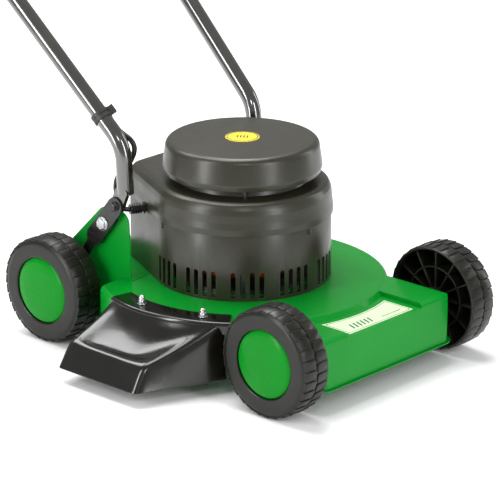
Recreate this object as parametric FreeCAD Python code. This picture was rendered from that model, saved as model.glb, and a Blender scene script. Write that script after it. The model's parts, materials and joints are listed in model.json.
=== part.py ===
"""Electric walk-behind rotary mower with side discharge, one STEP file per piece.

Millimetres, +Z up, +Y towards the handle, -X the discharge side. The model is laid out about the
point on the ground midway between the axles, then moved so that the middle of its footprint is
at the origin.
"""
import FreeCAD, Part
import math
import os

Vector = FreeCAD.Vector

# ---- Overall sizes ---------------------------------------------------------------------------
WHEEL_DIAMETER = 165.0
WHEEL_WIDTH = 52.0
WHEELBASE = 460.0
TRACK_OUTER = 430.0  # across the outer faces of the wheels
HANDLE_TOP_HEIGHT = 930.0  # centre line of the crossbar
HANDLE_SLOPE = 42.8  # degrees above level
RUNNING_CLEARANCE = 0.08  # radial, between a turning piece and its axle
FACE_GAP = 0.3  # between curved or soft faces that only lie against each other

SIDES = (("right", -1), ("left", 1))
AXLE_HEIGHT = WHEEL_DIAMETER / 2
AXLE_Y = WHEELBASE / 2
WHEEL_INNER_X = TRACK_OUTER / 2 - WHEEL_WIDTH

# ---- Deck ------------------------------------------------------------------------------------
MOTOR_Y = 9.0  # the motor and blade axis
DECK_SHEET = 1.6
DECK_BOTTOM = 33.0
DECK_TOP = 111.0  # the level platform under the motor
DECK_PLATFORM_RADIUS = 140.0
DECK_SHOULDER = 107.0  # the crown falls to this height at the edge
DOME_RADIUS = 222.0
DOME_REAR_Y = 128.0  # the dome is cut off here to clear the rear wheels
SHOULDER_FILLET = 8.0
FRONT_HALF_WIDTH = 150.0
FRONT_TOP_Y = -276.0
FRONT_BOTTOM_Y = -284.0
FRONT_CORNER = 22.0
REAR_HALF_WIDTH = 141.0
REAR_TOP = DECK_TOP
REAR_START_Y = 104.0
REAR_Y = 262.0
REAR_CORNER = 14.0
LIP_WIDTH = 5.0
POCKET_DEPTH = 7.0  # recess for the nameplate, open at the front
POCKET_HALF_WIDTH = 84.0
POCKET_ARC = 224.0
SHAFT_HOLE_RADIUS = 22.0
EAR_TOP = 215.0
EAR_FRONT_Y = 108.0
EAR_TOP_REAR_Y = 168.0
EAR_CORNER = 18.0

# ---- Nameplate and sticker -------------------------------------------------------------------
PLATE_THICKNESS = 0.4
PLATE_HALF_WIDTH = 71.0
PLATE_REAR_GAP = 10.0
STICKER_RADIUS = 26.0

# ---- Motor covers ----------------------------------------------------------------------------
COVER_RADIUS = 135.0
COVER_WALL = 3.0
COVER_SEAM = 213.0
COVER_TOP = 263.0
COVER_SKIRT_LAP = 7.0  # the upper cover's skirt overlaps the lower cover this much
COVER_SKIRT_HEIGHT = 11.0
COVER_SKIRT_WALL = 2.2
COVER_SHOULDER = 9.0
COVER_INTAKE_RADIUS = 99.0
COLLAR_HEIGHT = 34.0  # raised ring round the air intake, hidden under the lid
COVER_FLANGE_WIDTH = 12.0
REAR_BOX_Y = 196.0
REAR_BOX_HALF_WIDTH = 58.0
REAR_BOX_CORNER = 22.0
LID_RIM_HEIGHT = 276.0
LID_RIM_RADIUS = 121.0
LID_TOP = 326.0
LID_TOP_RADIUS = 118.5
LID_CROWN = 1.5
LID_WALL = 3.0
LID_SHOULDER = 9.0
LID_POST_RADIUS = 5.0
LID_POST_CIRCLE = 108.0
LID_POST_ANGLES = (45, 135, 225, 315)
SLOT_WIDTH = 7.6
SLOT_BOTTOM = 116.0
SLOT_TOP = 156.0
SLOT_PITCH = 6.1  # degrees
SLOTS_PER_GROUP = 4
SLOT_GROUP_ANGLES = (-195, -165, -134, -102, -70, -42, -15, 15)
COVER_SCREW_ANGLES = (-90, 20, 160)
COVER_SCREW_RADIUS = 2.0
COVER_SCREW_HEAD = 3.8
COVER_SCREW_DROP = 7.0  # below the seam
SCREW_LUG_WIDTH = 12.0
SCREW_LUG_DEPTH = 6.0
BASE_SCREW_CIRCLE = 128.0
BASE_BOSS_RADIUS = 5.0
CASE_SCREW_LENGTH = 14.0
BASE_SCREW_ANGLES = (-86, 0, 180)

# ---- Motor -----------------------------------------------------------------------------------
SHAFT_RADIUS = 8.0
ROTOR_RADIUS = 54.0
AIR_GAP = 0.6
STATOR_RADIUS = 92.0
STATOR_BOTTOM = 158.0
STATOR_TOP = 206.0
WINDING_INNER = 58.0
WINDING_OUTER = 88.0
WINDING_DROP = 30.0
WINDING_RISE = 20.0
BELL_RADIUS = 104.0
BELL_PLATE = 6.0
LOWER_BELL_BASE = DECK_TOP
UPPER_BELL_BASE = 232.0
POST_RADIUS = 5.0
POST_CIRCLE = 97.0
BEARING_RADIUS = 17.5
BEARING_HEIGHT = 12.0
FAN_BASE = 246.0
FAN_RADIUS = 88.0
FAN_HEIGHT = 13.0
FAN_BLADES = 9
CAPACITOR_RADIUS = 20.0
CAPACITOR_HEIGHT = 84.0
CAPACITOR_Y = 160.0
CLAMP_SHEET = 2.0
TERMINAL_SIZE = 12.0
LOWER_BEARING_BASE = LOWER_BELL_BASE + 4
UPPER_BEARING_BASE = UPPER_BELL_BASE - 2

# ---- Blade -----------------------------------------------------------------------------------
BLADE_LENGTH = 350.0
BLADE_WIDTH = 46.0
BLADE_THICKNESS = 3.0
BLADE_HEIGHT = 50.0  # underside of the blade
BLADE_WING_RISE = 10.0
BLADE_BOLT_RADIUS = 5.0
BLADE_BOLT_REACH = 24.0
HUB_RADIUS = 26.0
HUB_TOP = 84.0

# ---- Discharge chute -------------------------------------------------------------------------
CHUTE_WALL = 3.0
CHUTE_FLANGE_THICKNESS = 3.0
CROWN_ALLOWANCE = 1.6  # the crown is this much higher at the flange's inner edge
CHUTE_FLANGE_INNER = 190.0
CHUTE_FLANGE_ANGLES = (162.0, 218.0)
CHUTE_LIP_X = -292.0
CHUTE_LIP_BOTTOM_X = -314.0
CHUTE_LIP_TOP = 58.0
CHUTE_BOTTOM = 22.0
CHUTE_LIP_Y = (-66.0, 90.0)
CHUTE_ROOT_X = (-180.0, -214.0)  # at its front and its rear edge
CHUTE_ROOT_Y = (-122.0, 80.0)
CHUTE_FLARE = 6.0  # the sides spread this far from top to bottom
OUTLET_Y = (-92.0, 62.0)
OUTLET_BOTTOM = 40.0
OUTLET_TOP = 94.0
STUD_CIRCLE = 206.0
STUD_ANGLES = (176.5, 206.5)
STUD_RADIUS = 3.0

# ---- Wheels ----------------------------------------------------------------------------------
AXLE_RADIUS = 6.0
TREAD_THICKNESS = 6.5
WHEEL_EDGE = 4.0
SIDE_FACE_THICKNESS = 4.5
CAP_RADIUS = 51.6
CAP_PROUD = 3.0  # the dome stands this far out of the wheel's face
CAP_WALL = 2.2
CAP_RECESS = 8.0
WEB_THICKNESS = 4.0
RING_RADIUS = 49.0
HUB_OUTER = 17.0
HUB_LENGTH = 46.0
RIB_COUNT = 12
RIB_THICKNESS = 3.0
RETAINER_RADIUS = 14.0
RETAINER_THICKNESS = 1.6

# ---- Handle ----------------------------------------------------------------------------------
TUBE_RADIUS = 12.7
TUBE_WALL = 1.5
TUBE_Y = 118.0
TUBE_FOOT_X = 139.0  # centre line, at the height of the pivot
TUBE_SPLAY = 0.06  # sideways, per millimetre of tube
TUBE_BOTTOM = 246.0
TUBE_BEND_RADIUS = 57.0
BEND_CORNER_HEIGHT = 322.0
TOP_BEND_RADIUS = 60.0
JOINT_PATH = 470.0  # from the bend to the joint of the lower tubes and the bow
PIVOT_Y = 130.0
PIVOT_Z = 225.0
PADDLE_THICKNESS = 8.0
PADDLE_WIDTH = 25.0
BRACKET_SHEET = 2.5
BRACKET_WIDTH = 29.0
STRAP_WIDTH = 15.0
EAR_BOLT_Y = 155.6
EAR_BOLT_Z = 192.3
BRACKET_END_Y = 176.0
BRACKET_END_Z = 168.0
PIVOT_PIN_RADIUS = 4.0

JOINT_SLEEVE = 45.0
GRIP_RADIUS = 17.0
GRIP_LENGTH = 280.0

# ---- Switch box and lever --------------------------------------------------------------------
SWITCH_DROP = 121.462  # middle of the box, down the sloping run from the crossbar's corner
SWITCH_LENGTH = 112.0
SWITCH_X = (-19.0, 52.0)  # across the box, from the tube's centre line
SWITCH_DEPTH = 50.0
SWITCH_WALL = 2.5
BUTTON_X = 34.0
BUTTON_ALONG = -14.0
BUTTON_RADIUS = 7.0
BUTTON_HEIGHT = 6.0
BUTTON_TRAVEL = 4.0
INLET_X = 33.0
INLET_DROP = -4.0
INLET_RADIUS = 13.0
BAIL_RADIUS = 4.0
BAIL_ALONG = 30.0
BAIL_FRONT = GRIP_RADIUS + BAIL_RADIUS + 0.4
BAIL_TRAVEL = 24.0  # degrees

# ---- Cable -----------------------------------------------------------------------------------
CABLE_RADIUS = 4.0
CABLE_LEAN = 110.0  # degrees inboard of straight in front of the tube
GLAND_Y = 119.0
GLAND_Z = COVER_SEAM
GLAND_LENGTH = 26.0
GLAND_NECK_RADIUS = 6.0
GLAND_RIB_RADIUS = 8.0
GLAND_RIBS = 5
TAIL_LENGTH = 27.5
CLIP_WIDTH = 13.0
CLIP_BAND = 5.0
LOW_CLIP_PATH = 56.0
MIDDLE_CLIP_PATH = 340.0
HIGH_CLIP_DROP = 155.0  # below the middle of the switch box
CLIP_TAB_LEAN = 52.0
CLIP_TAB_REACH = 23.0  # from the tube's centre line
CLIP_TAB_THICKNESS = 8.0
LOOP_LEAD = 15.0  # straight out of the gland
LOOP_POINTS = (
    (-129.0, 151.0, 236.0),
    (-134.0, 145.0, 264.0),
    (-124.0, 122.0, 290.0),
    (-124.0, 110.0, 322.0),
)


# ---- Shape helpers ---------------------------------------------------------------------------
def cylinder(radius, length, base, axis=(0, 0, 1)):
    """A solid cylinder of this length from base along axis."""
    return Part.makeCylinder(radius, length, Vector(*base), Vector(*axis))


def ring(outer, inner, length, base, axis=(0, 0, 1)):
    """A cylinder with a through bore."""
    start = Vector(*base)
    direction = Vector(*axis).normalize()
    bore = Part.makeCylinder(inner, length + 2, start - direction, direction)
    return Part.makeCylinder(outer, length, start, direction).cut(bore)


def box(low, high):
    """A box between two corners."""
    size = [high[i] - low[i] for i in range(3)]
    return Part.makeBox(size[0], size[1], size[2], Vector(*low))


def rounded_wire(points, radii, closed=True):
    """Straight runs through the points, joined by tangent arcs of the given radii."""
    nodes = [Vector(*p) for p in points]
    count = len(nodes)
    if not isinstance(radii, (list, tuple)):
        radii = [radii] * count
    entries = []
    exits = []
    middles = []
    for i, node in enumerate(nodes):
        is_end = not closed and i in (0, count - 1)
        if radii[i] <= 0 or is_end:
            entries.append(node)
            exits.append(node)
            middles.append(None)
            continue
        back = (nodes[i - 1] - node).normalize()
        ahead = (nodes[(i + 1) % count] - node).normalize()
        half = back.getAngle(ahead) / 2
        setback = radii[i] / math.tan(half)
        centre_line = (back + ahead).normalize()
        centre = node + centre_line * (radii[i] / math.sin(half))
        entries.append(node + back * setback)
        exits.append(node + ahead * setback)
        middles.append(centre - centre_line * radii[i])
    edges = []
    for i in range(count):
        if middles[i] is not None:
            edges.append(Part.Arc(entries[i], middles[i], exits[i]).toShape())
        if i + 1 < count or closed:
            start = exits[i]
            end = entries[(i + 1) % count]
            if (end - start).Length > 1e-6:
                edges.append(Part.LineSegment(start, end).toShape())
    return Part.Wire(edges)


def prism(points, radii, direction):
    """Extrude a rounded outline along a vector."""
    return Part.Face(rounded_wire(points, radii)).extrude(Vector(*direction))


def flat_prism(outline, radii, bottom, top):
    """Extrude a plan outline of (x, y) points from one height to another."""
    return prism([(x, y, bottom) for x, y in outline], radii, (0, 0, top - bottom))


def turned(profile, radii, centre, axis=(0, 0, 1)):
    """Turn a profile of (radius, height along axis) points about an axis through centre."""
    along = Vector(*axis)
    across = Vector(0, 1, 0) if abs(along.y) < 0.5 else Vector(1, 0, 0)
    start = Vector(*centre)
    points = [tuple(start + across * r + along * h) for r, h in profile]
    face = Part.Face(rounded_wire(points, radii))
    return face.revolve(start, along, 360)


def swept(points, radii, radius):
    """A round rod along straight runs and tangent arcs."""
    path = rounded_wire(points, radii, closed=False)
    first = path.OrderedEdges[0]
    start = first.valueAt(first.FirstParameter)
    tangent = first.tangentAt(first.FirstParameter)
    profile = Part.Wire(Part.makeCircle(radius, start, tangent))
    return path.makePipeShell([profile], True, False)


def union(shapes):
    """Fuse a list of solids into one."""
    result = shapes[0]
    for shape in shapes[1:]:
        result = result.fuse(shape)
    return result.removeSplitter()


def mirrored(shape):
    """The same shape on the other side of the centre plane."""
    return shape.mirror(Vector(0, 0, 0), Vector(1, 0, 0))


def on_circle(radius, degrees, height=0.0):
    """A point on a circle about the motor axis."""
    angle = math.radians(degrees)
    return (radius * math.cos(angle), MOTOR_Y + radius * math.sin(angle), height)


def about_motor(shape, degrees):
    """The shape turned about the motor axis."""
    copy = shape.copy()
    copy.rotate(Vector(0, MOTOR_Y, 0), Vector(0, 0, 1), degrees)
    return copy


def screw(head_radius, head_height, radius, length, base, axis):
    """A round-headed screw whose head sits on base and whose shank runs back along axis."""
    head = cylinder(head_radius, head_height, base, axis)
    shank = cylinder(radius, length, base, [-a for a in axis])
    return head.fuse(shank).removeSplitter()


def hexagon(across_flats, height, base, axis):
    """A hexagonal nut or head, standing on base."""
    corner = across_flats / math.sqrt(3)
    normal = Vector(*axis)
    side = Vector(0, 0, 1) if abs(normal.z) < 0.5 else Vector(1, 0, 0)
    other = normal.cross(side)
    centre = Vector(*base)
    points = []
    for i in range(6):
        angle = math.radians(60 * i)
        points.append(tuple(centre + side * corner * math.cos(angle) + other * corner * math.sin(angle)))
    return prism(points, 0, tuple(normal * height))


# ---- Deck ------------------------------------------------------------------------------------
def dome(inset):
    """The round blade chamber, cut off straight in front of the rear wheels."""
    top = DECK_TOP - inset
    edge = DECK_SHOULDER - inset
    radius = DOME_RADIUS - inset
    profile = [(0, DECK_BOTTOM), (radius, DECK_BOTTOM), (radius, edge), (DECK_PLATFORM_RADIUS, top), (0, top)]
    body = turned(profile, [0, 0, SHOULDER_FILLET - inset, 0, 0], (0, MOTOR_Y, 0))
    far = 2 * DOME_RADIUS
    rear = DOME_REAR_Y - inset
    return body.cut(box((-far, rear, DECK_BOTTOM - 1), (far, far, top + 1)))


def front_box(inset):
    """The squared front section that carries the front wheels."""
    half = FRONT_HALF_WIDTH - inset
    side = [
        (-half, FRONT_BOTTOM_Y + inset, DECK_BOTTOM),
        (-half, FRONT_TOP_Y + inset, DECK_SHOULDER - inset),
        (-half, MOTOR_Y, DECK_SHOULDER - inset),
        (-half, MOTOR_Y, DECK_BOTTOM),
    ]
    body = prism(side, [0, SHOULDER_FILLET - inset, 0, 0], (2 * half, 0, 0))
    plan = [
        (-half, FRONT_BOTTOM_Y + inset),
        (half, FRONT_BOTTOM_Y + inset),
        (half, MOTOR_Y),
        (-half, MOTOR_Y),
    ]
    corner = FRONT_CORNER - inset
    rounding = flat_prism(plan, [corner, corner, 0, 0], DECK_BOTTOM, DECK_SHOULDER)
    cross = [
        (-half, FRONT_BOTTOM_Y, DECK_BOTTOM),
        (-half, FRONT_BOTTOM_Y, DECK_SHOULDER - inset),
        (half, FRONT_BOTTOM_Y, DECK_SHOULDER - inset),
        (half, FRONT_BOTTOM_Y, DECK_BOTTOM),
    ]
    edge = SHOULDER_FILLET - inset
    shoulders = prism(cross, [0, edge, edge, 0], (0, MOTOR_Y - FRONT_BOTTOM_Y, 0))
    return body.common(rounding).common(shoulders)


def rear_box(inset):
    """The squared rear section between the rear wheels."""
    half = REAR_HALF_WIDTH - inset
    plan = [
        (-half, REAR_START_Y + inset),
        (half, REAR_START_Y + inset),
        (half, REAR_Y - inset),
        (-half, REAR_Y - inset),
    ]
    corner = REAR_CORNER - inset
    body = flat_prism(plan, [0, 0, corner, corner], DECK_BOTTOM, REAR_TOP - inset)
    side = [
        (-half, REAR_START_Y, DECK_BOTTOM),
        (-half, REAR_START_Y, REAR_TOP - inset),
        (-half, REAR_Y - inset, REAR_TOP - inset),
        (-half, REAR_Y - inset, DECK_BOTTOM),
    ]
    return body.common(prism(side, [0, 0, SHOULDER_FILLET - inset, 0], (2 * half, 0, 0)))


def pocket(grow):
    """The nameplate recess: an arc at the rear, sloping walls and an open front."""
    floor = DECK_SHOULDER - POCKET_DEPTH
    half = POCKET_HALF_WIDTH + grow
    height = POCKET_DEPTH + 6
    front = FRONT_BOTTOM_Y - 20
    rear = MOTOR_Y - 150
    lower = [(-half, front), (half, front), (half, rear), (-half, rear)]
    block = flat_prism(lower, [0, 0, 6, 6], floor - grow, floor - grow + height)
    slope = math.tan(math.radians(40))
    cone = Part.makeCone(
        POCKET_ARC - grow,
        POCKET_ARC - grow - height * slope,
        height,
        Vector(0, MOTOR_Y, floor - grow),
    )
    return block.cut(cone)


def deck_skin(inset):
    """The three sections of the deck joined, drawn in by inset."""
    return union([dome(inset), front_box(inset), rear_box(inset)])


def deck_lip():
    """The narrow outward flange round the bottom edge."""
    top = DECK_BOTTOM + DECK_SHEET
    disc = cylinder(DOME_RADIUS + LIP_WIDTH, DECK_SHEET, (0, MOTOR_Y, DECK_BOTTOM))
    far = 2 * DOME_RADIUS
    disc = disc.cut(box((-far, DOME_REAR_Y + LIP_WIDTH, 0), (far, far, top + 1)))
    half = FRONT_HALF_WIDTH + LIP_WIDTH
    front = [(-half, FRONT_BOTTOM_Y - LIP_WIDTH), (half, FRONT_BOTTOM_Y - LIP_WIDTH), (half, 0), (-half, 0)]
    corner = FRONT_CORNER + LIP_WIDTH
    front_lip = flat_prism(front, [corner, corner, 0, 0], DECK_BOTTOM, top)
    half = REAR_HALF_WIDTH + LIP_WIDTH
    end = REAR_Y + LIP_WIDTH
    rear = [(-half, REAR_START_Y), (half, REAR_START_Y), (half, end), (-half, end)]
    corner = REAR_CORNER + LIP_WIDTH
    rear_lip = flat_prism(rear, [0, 0, corner, corner], DECK_BOTTOM, top)
    return union([disc, front_lip, rear_lip])


def ear():
    """One upright cheek of the rear section, outer face on the centre plane side."""
    foot = REAR_TOP - 12
    outline = [
        (0, EAR_FRONT_Y, foot),
        (0, EAR_FRONT_Y + 4, EAR_TOP),
        (0, EAR_TOP_REAR_Y, EAR_TOP),
        (0, REAR_Y - 2, EAR_TOP - (REAR_Y - 2 - EAR_TOP_REAR_Y)),
        (0, REAR_Y - 2, foot),
    ]
    return prism(outline, [0, EAR_CORNER, EAR_CORNER, EAR_CORNER, 0], (DECK_SHEET, 0, 0))


def through_x(radius, y, z, half_length):
    """A round cutter across the whole deck."""
    return cylinder(radius, 2 * half_length, (-half_length, y, z), (1, 0, 0))


def deck_shell():
    """The pressed steel deck: hollow below, with its lip, ears, holes and outlet."""
    outer = deck_skin(0).cut(pocket(0))
    inner = deck_skin(DECK_SHEET).cut(pocket(DECK_SHEET))
    body = outer.fuse(deck_lip())
    ears = []
    for _, side in SIDES:
        plate = ear()
        x = -REAR_HALF_WIDTH if side < 0 else REAR_HALF_WIDTH - DECK_SHEET
        plate.translate(Vector(x, 0, 0))
        ears.append(plate)
    body = union([body] + ears)
    low = inner.copy()
    low.translate(Vector(0, 0, -DECK_SHEET - 1))
    body = body.cut(inner).cut(low.common(box((-400, -400, 0), (400, 400, DECK_BOTTOM + 5))))
    body = body.cut(cylinder(SHAFT_HOLE_RADIUS, 40, (0, MOTOR_Y, DECK_TOP - 20)))
    low = (-2 * DOME_RADIUS, OUTLET_Y[0], OUTLET_BOTTOM)
    body = body.cut(box(low, (-DOME_RADIUS / 2, OUTLET_Y[1], OUTLET_TOP)))
    for y in (-AXLE_Y, AXLE_Y):
        body = body.cut(through_x(AXLE_RADIUS, y, AXLE_HEIGHT, TRACK_OUTER))
    body = body.cut(through_x(PIVOT_PIN_RADIUS, EAR_BOLT_Y, EAR_BOLT_Z, TRACK_OUTER))
    for degrees in STUD_ANGLES:
        body = body.cut(cylinder(STUD_RADIUS, 60, on_circle(STUD_CIRCLE, degrees, 80)))
    for degrees in stud_angles():
        body = body.cut(cylinder(POST_RADIUS, 60, on_circle(POST_CIRCLE, degrees, 80)))
    for degrees in BASE_SCREW_ANGLES:
        body = body.cut(cylinder(COVER_SCREW_RADIUS, 60, on_circle(BASE_SCREW_CIRCLE, degrees, 80)))
    return body


def nameplate():
    """The blank plate in the front recess; its rear edge follows the dome."""
    floor = DECK_SHOULDER - POCKET_DEPTH
    half = PLATE_HALF_WIDTH
    front = FRONT_TOP_Y + SHOULDER_FILLET - 2
    rear = MOTOR_Y - 150
    plan = [(-half, front), (half, front), (half, rear), (-half, rear)]
    blank = flat_prism(plan, 0, floor, floor + PLATE_THICKNESS)
    return blank.cut(cylinder(POCKET_ARC + PLATE_REAR_GAP, 20, (0, MOTOR_Y, floor - 10)))


# ---- Motor covers ----------------------------------------------------------------------------
def cover_body(grow, bottom, top):
    """The plan of the motor covers: a round drum with a tapered box behind it."""
    radius = COVER_RADIUS + grow
    half = REAR_BOX_HALF_WIDTH + grow
    depth = REAR_BOX_Y + grow - MOTOR_Y
    reach = math.hypot(half, depth)
    tangent = math.degrees(math.atan2(depth, -half) + math.acos(radius / reach))
    left = on_circle(radius, 180 - tangent)
    right = on_circle(radius, tangent)
    outline = [(0, MOTOR_Y), left[:2], (half, MOTOR_Y + depth), (-half, MOTOR_Y + depth), right[:2]]
    corner = REAR_BOX_CORNER + grow
    rear = flat_prism(outline, [0, 0, corner, corner, 0], bottom, top)
    drum = cylinder(radius, top - bottom, (0, MOTOR_Y, bottom))
    return drum.fuse(rear).removeSplitter()


def soften_top(shape, radius):
    """Round the outer edge of a shape's top face."""
    top = shape.BoundBox.ZMax
    edges = [e for e in shape.Edges if abs(e.BoundBox.ZMin - top) < 1e-4]
    return shape.makeFillet(radius, edges)


def slot_cutter(degrees):
    """One upright air slot with a round top, cut through the drum wall."""
    inner = COVER_RADIUS - 4 * COVER_WALL
    half = SLOT_WIDTH / 2
    outline = [
        (inner, MOTOR_Y - half, SLOT_BOTTOM),
        (inner, MOTOR_Y + half, SLOT_BOTTOM),
        (inner, MOTOR_Y + half, SLOT_TOP),
        (inner, MOTOR_Y - half, SLOT_TOP),
    ]
    cutter = prism(outline, [0, 0, half * 0.98, half * 0.98], (8 * COVER_WALL, 0, 0))
    return about_motor(cutter, degrees)


def screw_hole(degrees, radius, height):
    """A radial hole through the drum wall."""
    start = on_circle(COVER_RADIUS - 10, degrees, height)
    axis = (math.cos(math.radians(degrees)), math.sin(math.radians(degrees)), 0)
    return cylinder(radius, 20, start, axis)


def screw_height():
    """The cover screws pass through the lower cover into the lugs of the upper one."""
    return COVER_SEAM - COVER_SCREW_DROP


def screw_lug(degrees):
    """A lug that hangs from the upper cover's wall, inside the lower cover."""
    half = SCREW_LUG_WIDTH / 2
    face = COVER_RADIUS - COVER_WALL - FACE_GAP
    low = COVER_SEAM - 2 * COVER_SCREW_DROP
    lap_top = COVER_SEAM + COVER_SKIRT_LAP
    tongue = box((face - SCREW_LUG_DEPTH, MOTOR_Y - half, low), (face, MOTOR_Y + half, lap_top + 8))
    root_low = (face - SCREW_LUG_DEPTH, MOTOR_Y - half, lap_top + 1.5)
    root = box(root_low, (face + 1.5, MOTOR_Y + half, lap_top + 8))
    return about_motor(tongue.fuse(root), degrees)


def gland_frame():
    """Where the gland meets the box's right face, and the way it points."""
    half = REAR_BOX_HALF_WIDTH
    depth = REAR_BOX_Y - MOTOR_Y
    reach = math.hypot(half, depth)
    tangent = math.degrees(math.atan2(depth, -half) + math.acos(COVER_RADIUS / reach))
    start = Vector(*on_circle(COVER_RADIUS, tangent, GLAND_Z))
    normal = Vector(math.cos(math.radians(tangent)), math.sin(math.radians(tangent)), 0)
    along = Vector(normal.y, -normal.x, 0)
    if along.y < 0:
        along = along * -1
    return start + along * ((GLAND_Y - start.y) / along.y), normal


def gland_hole():
    """The round opening that the gland is clamped in, half in each cover."""
    start, normal = gland_frame()
    return cylinder(GLAND_NECK_RADIUS, 24, tuple(start - normal * 14), tuple(normal))


def lower_motor_cover():
    """The slotted drum and box, standing on the deck."""
    top = COVER_SEAM + COVER_SKIRT_LAP
    body = cover_body(0, DECK_TOP, top).cut(cover_body(-COVER_WALL, DECK_TOP + COVER_WALL, top + 1))
    body = body.cut(cover_body(-COVER_FLANGE_WIDTH, DECK_TOP - 1, DECK_TOP + COVER_WALL + 1))
    for group in SLOT_GROUP_ANGLES:
        for i in range(SLOTS_PER_GROUP):
            degrees = group + (i - (SLOTS_PER_GROUP - 1) / 2) * SLOT_PITCH
            body = body.cut(slot_cutter(degrees))
    for degrees in COVER_SCREW_ANGLES:
        body = body.cut(screw_hole(degrees, COVER_SCREW_RADIUS, screw_height()))
    for degrees in BASE_SCREW_ANGLES:
        foot = on_circle(BASE_SCREW_CIRCLE, degrees, DECK_TOP)
        below = on_circle(BASE_SCREW_CIRCLE, degrees, DECK_TOP - 20)
        body = body.fuse(cylinder(BASE_BOSS_RADIUS, CASE_SCREW_LENGTH, foot))
        body = body.cut(cylinder(COVER_SCREW_RADIUS, 40, below))
    return body.cut(gland_hole()).removeSplitter()


def upper_motor_cover():
    """The cap of the drum and box, with a skirt over the lower cover and a raised intake ring."""
    lap_top = COVER_SEAM + COVER_SKIRT_LAP + FACE_GAP
    outer_grow = FACE_GAP + COVER_SKIRT_WALL
    skirt = cover_body(outer_grow, COVER_SEAM, COVER_SEAM + COVER_SKIRT_HEIGHT)
    cap = soften_top(cover_body(0, COVER_SEAM, COVER_TOP), COVER_SHOULDER)
    collar = cylinder(COVER_INTAKE_RADIUS, COLLAR_HEIGHT, (0, MOTOR_Y, COVER_TOP - 1))
    body = union([skirt, cap, collar])
    body = body.cut(cover_body(FACE_GAP, COVER_SEAM - 1, lap_top))
    body = body.cut(cover_body(-COVER_WALL, COVER_SEAM - 1, COVER_TOP - COVER_WALL))
    bore = COVER_INTAKE_RADIUS - COVER_WALL
    body = body.cut(cylinder(bore, 2 * COLLAR_HEIGHT, (0, MOTOR_Y, COVER_TOP - 2 * COVER_WALL)))
    for degrees in COVER_SCREW_ANGLES:
        body = body.fuse(screw_lug(degrees)).cut(screw_hole(degrees, COVER_SCREW_RADIUS, screw_height()))
    for degrees in LID_POST_ANGLES:
        hole = cylinder(COVER_SCREW_RADIUS, 20, on_circle(LID_POST_CIRCLE, degrees, COVER_TOP - 10))
        body = body.cut(hole)
    return body.cut(gland_hole())


def motor_lid():
    """The round rain lid on four moulded posts."""
    inner = LID_SHOULDER - LID_WALL
    profile = [
        (LID_RIM_RADIUS, LID_RIM_HEIGHT),
        (LID_TOP_RADIUS, LID_TOP - LID_CROWN),
        (0, LID_TOP),
        (0, LID_TOP - LID_WALL),
        (LID_TOP_RADIUS - LID_WALL, LID_TOP - LID_CROWN - LID_WALL),
        (LID_RIM_RADIUS - LID_WALL, LID_RIM_HEIGHT),
    ]
    shell = turned(profile, [0, LID_SHOULDER, 0, 0, inner, 0], (0, MOTOR_Y, 0))
    posts = []
    for degrees in LID_POST_ANGLES:
        base = on_circle(LID_POST_CIRCLE, degrees, COVER_TOP)
        posts.append(ring(LID_POST_RADIUS, COVER_SCREW_RADIUS, LID_TOP - LID_CROWN - COVER_TOP - 1.5, base))
    return union([shell] + posts)


def lid_sticker():
    """The round blank label on the lid."""
    disc = cylinder(STICKER_RADIUS, LID_CROWN + PLATE_THICKNESS, (0, MOTOR_Y, LID_TOP - LID_CROWN))
    edge = LID_TOP - LID_CROWN
    profile = [(0, LID_TOP - 10), (LID_TOP_RADIUS, LID_TOP - 10), (LID_TOP_RADIUS, edge), (0, LID_TOP)]
    crown = turned(profile, 0, (0, MOTOR_Y, 0))
    return disc.cut(crown)


def cover_screws():
    """Three screws through the lower cover into the upper cover's lugs."""
    screws = []
    for degrees in COVER_SCREW_ANGLES:
        axis = (math.cos(math.radians(degrees)), math.sin(math.radians(degrees)), 0)
        base = on_circle(COVER_RADIUS, degrees, screw_height())
        screws.append(screw(COVER_SCREW_HEAD, 1.6, COVER_SCREW_RADIUS, 9, base, axis))
    return Part.makeCompound(screws)


def case_screws():
    """Equal screws up through the deck into the lower cover, and up into the lid's posts."""
    screws = []
    for degrees in BASE_SCREW_ANGLES:
        base = on_circle(BASE_SCREW_CIRCLE, degrees, DECK_TOP - DECK_SHEET)
        screws.append(screw(COVER_SCREW_HEAD, 2.2, COVER_SCREW_RADIUS, CASE_SCREW_LENGTH, base, (0, 0, -1)))
    for degrees in LID_POST_ANGLES:
        base = on_circle(LID_POST_CIRCLE, degrees, COVER_TOP - COVER_WALL)
        screws.append(screw(COVER_SCREW_HEAD, 2.2, COVER_SCREW_RADIUS, CASE_SCREW_LENGTH, base, (0, 0, -1)))
    return Part.makeCompound(screws)


def cable_gland():
    """The ribbed strain relief that the motor lead leaves by."""
    start, normal = gland_frame()
    axis = tuple(normal)
    neck = ring(GLAND_NECK_RADIUS, CABLE_RADIUS, GLAND_LENGTH + 8, tuple(start - normal * 8), axis)
    shapes = [neck]
    collar = start + normal * (FACE_GAP + COVER_SKIRT_WALL + 0.7)
    shapes.append(ring(GLAND_RIB_RADIUS + 1, CABLE_RADIUS, 3, tuple(collar), axis))
    shapes.append(ring(GLAND_RIB_RADIUS, CABLE_RADIUS, 3, tuple(start - normal * (COVER_WALL + 3.8)), axis))
    for i in range(GLAND_RIBS):
        at = start + normal * (9 + i * (GLAND_LENGTH - 11) / (GLAND_RIBS - 1))
        shapes.append(ring(GLAND_RIB_RADIUS, CABLE_RADIUS, 2.4, tuple(at), axis))
    return union(shapes)


# ---- Motor -----------------------------------------------------------------------------------
def stud_angles():
    """The four motor studs stand on the diagonals."""
    return [45 + 90 * i for i in range(4)]


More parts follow.
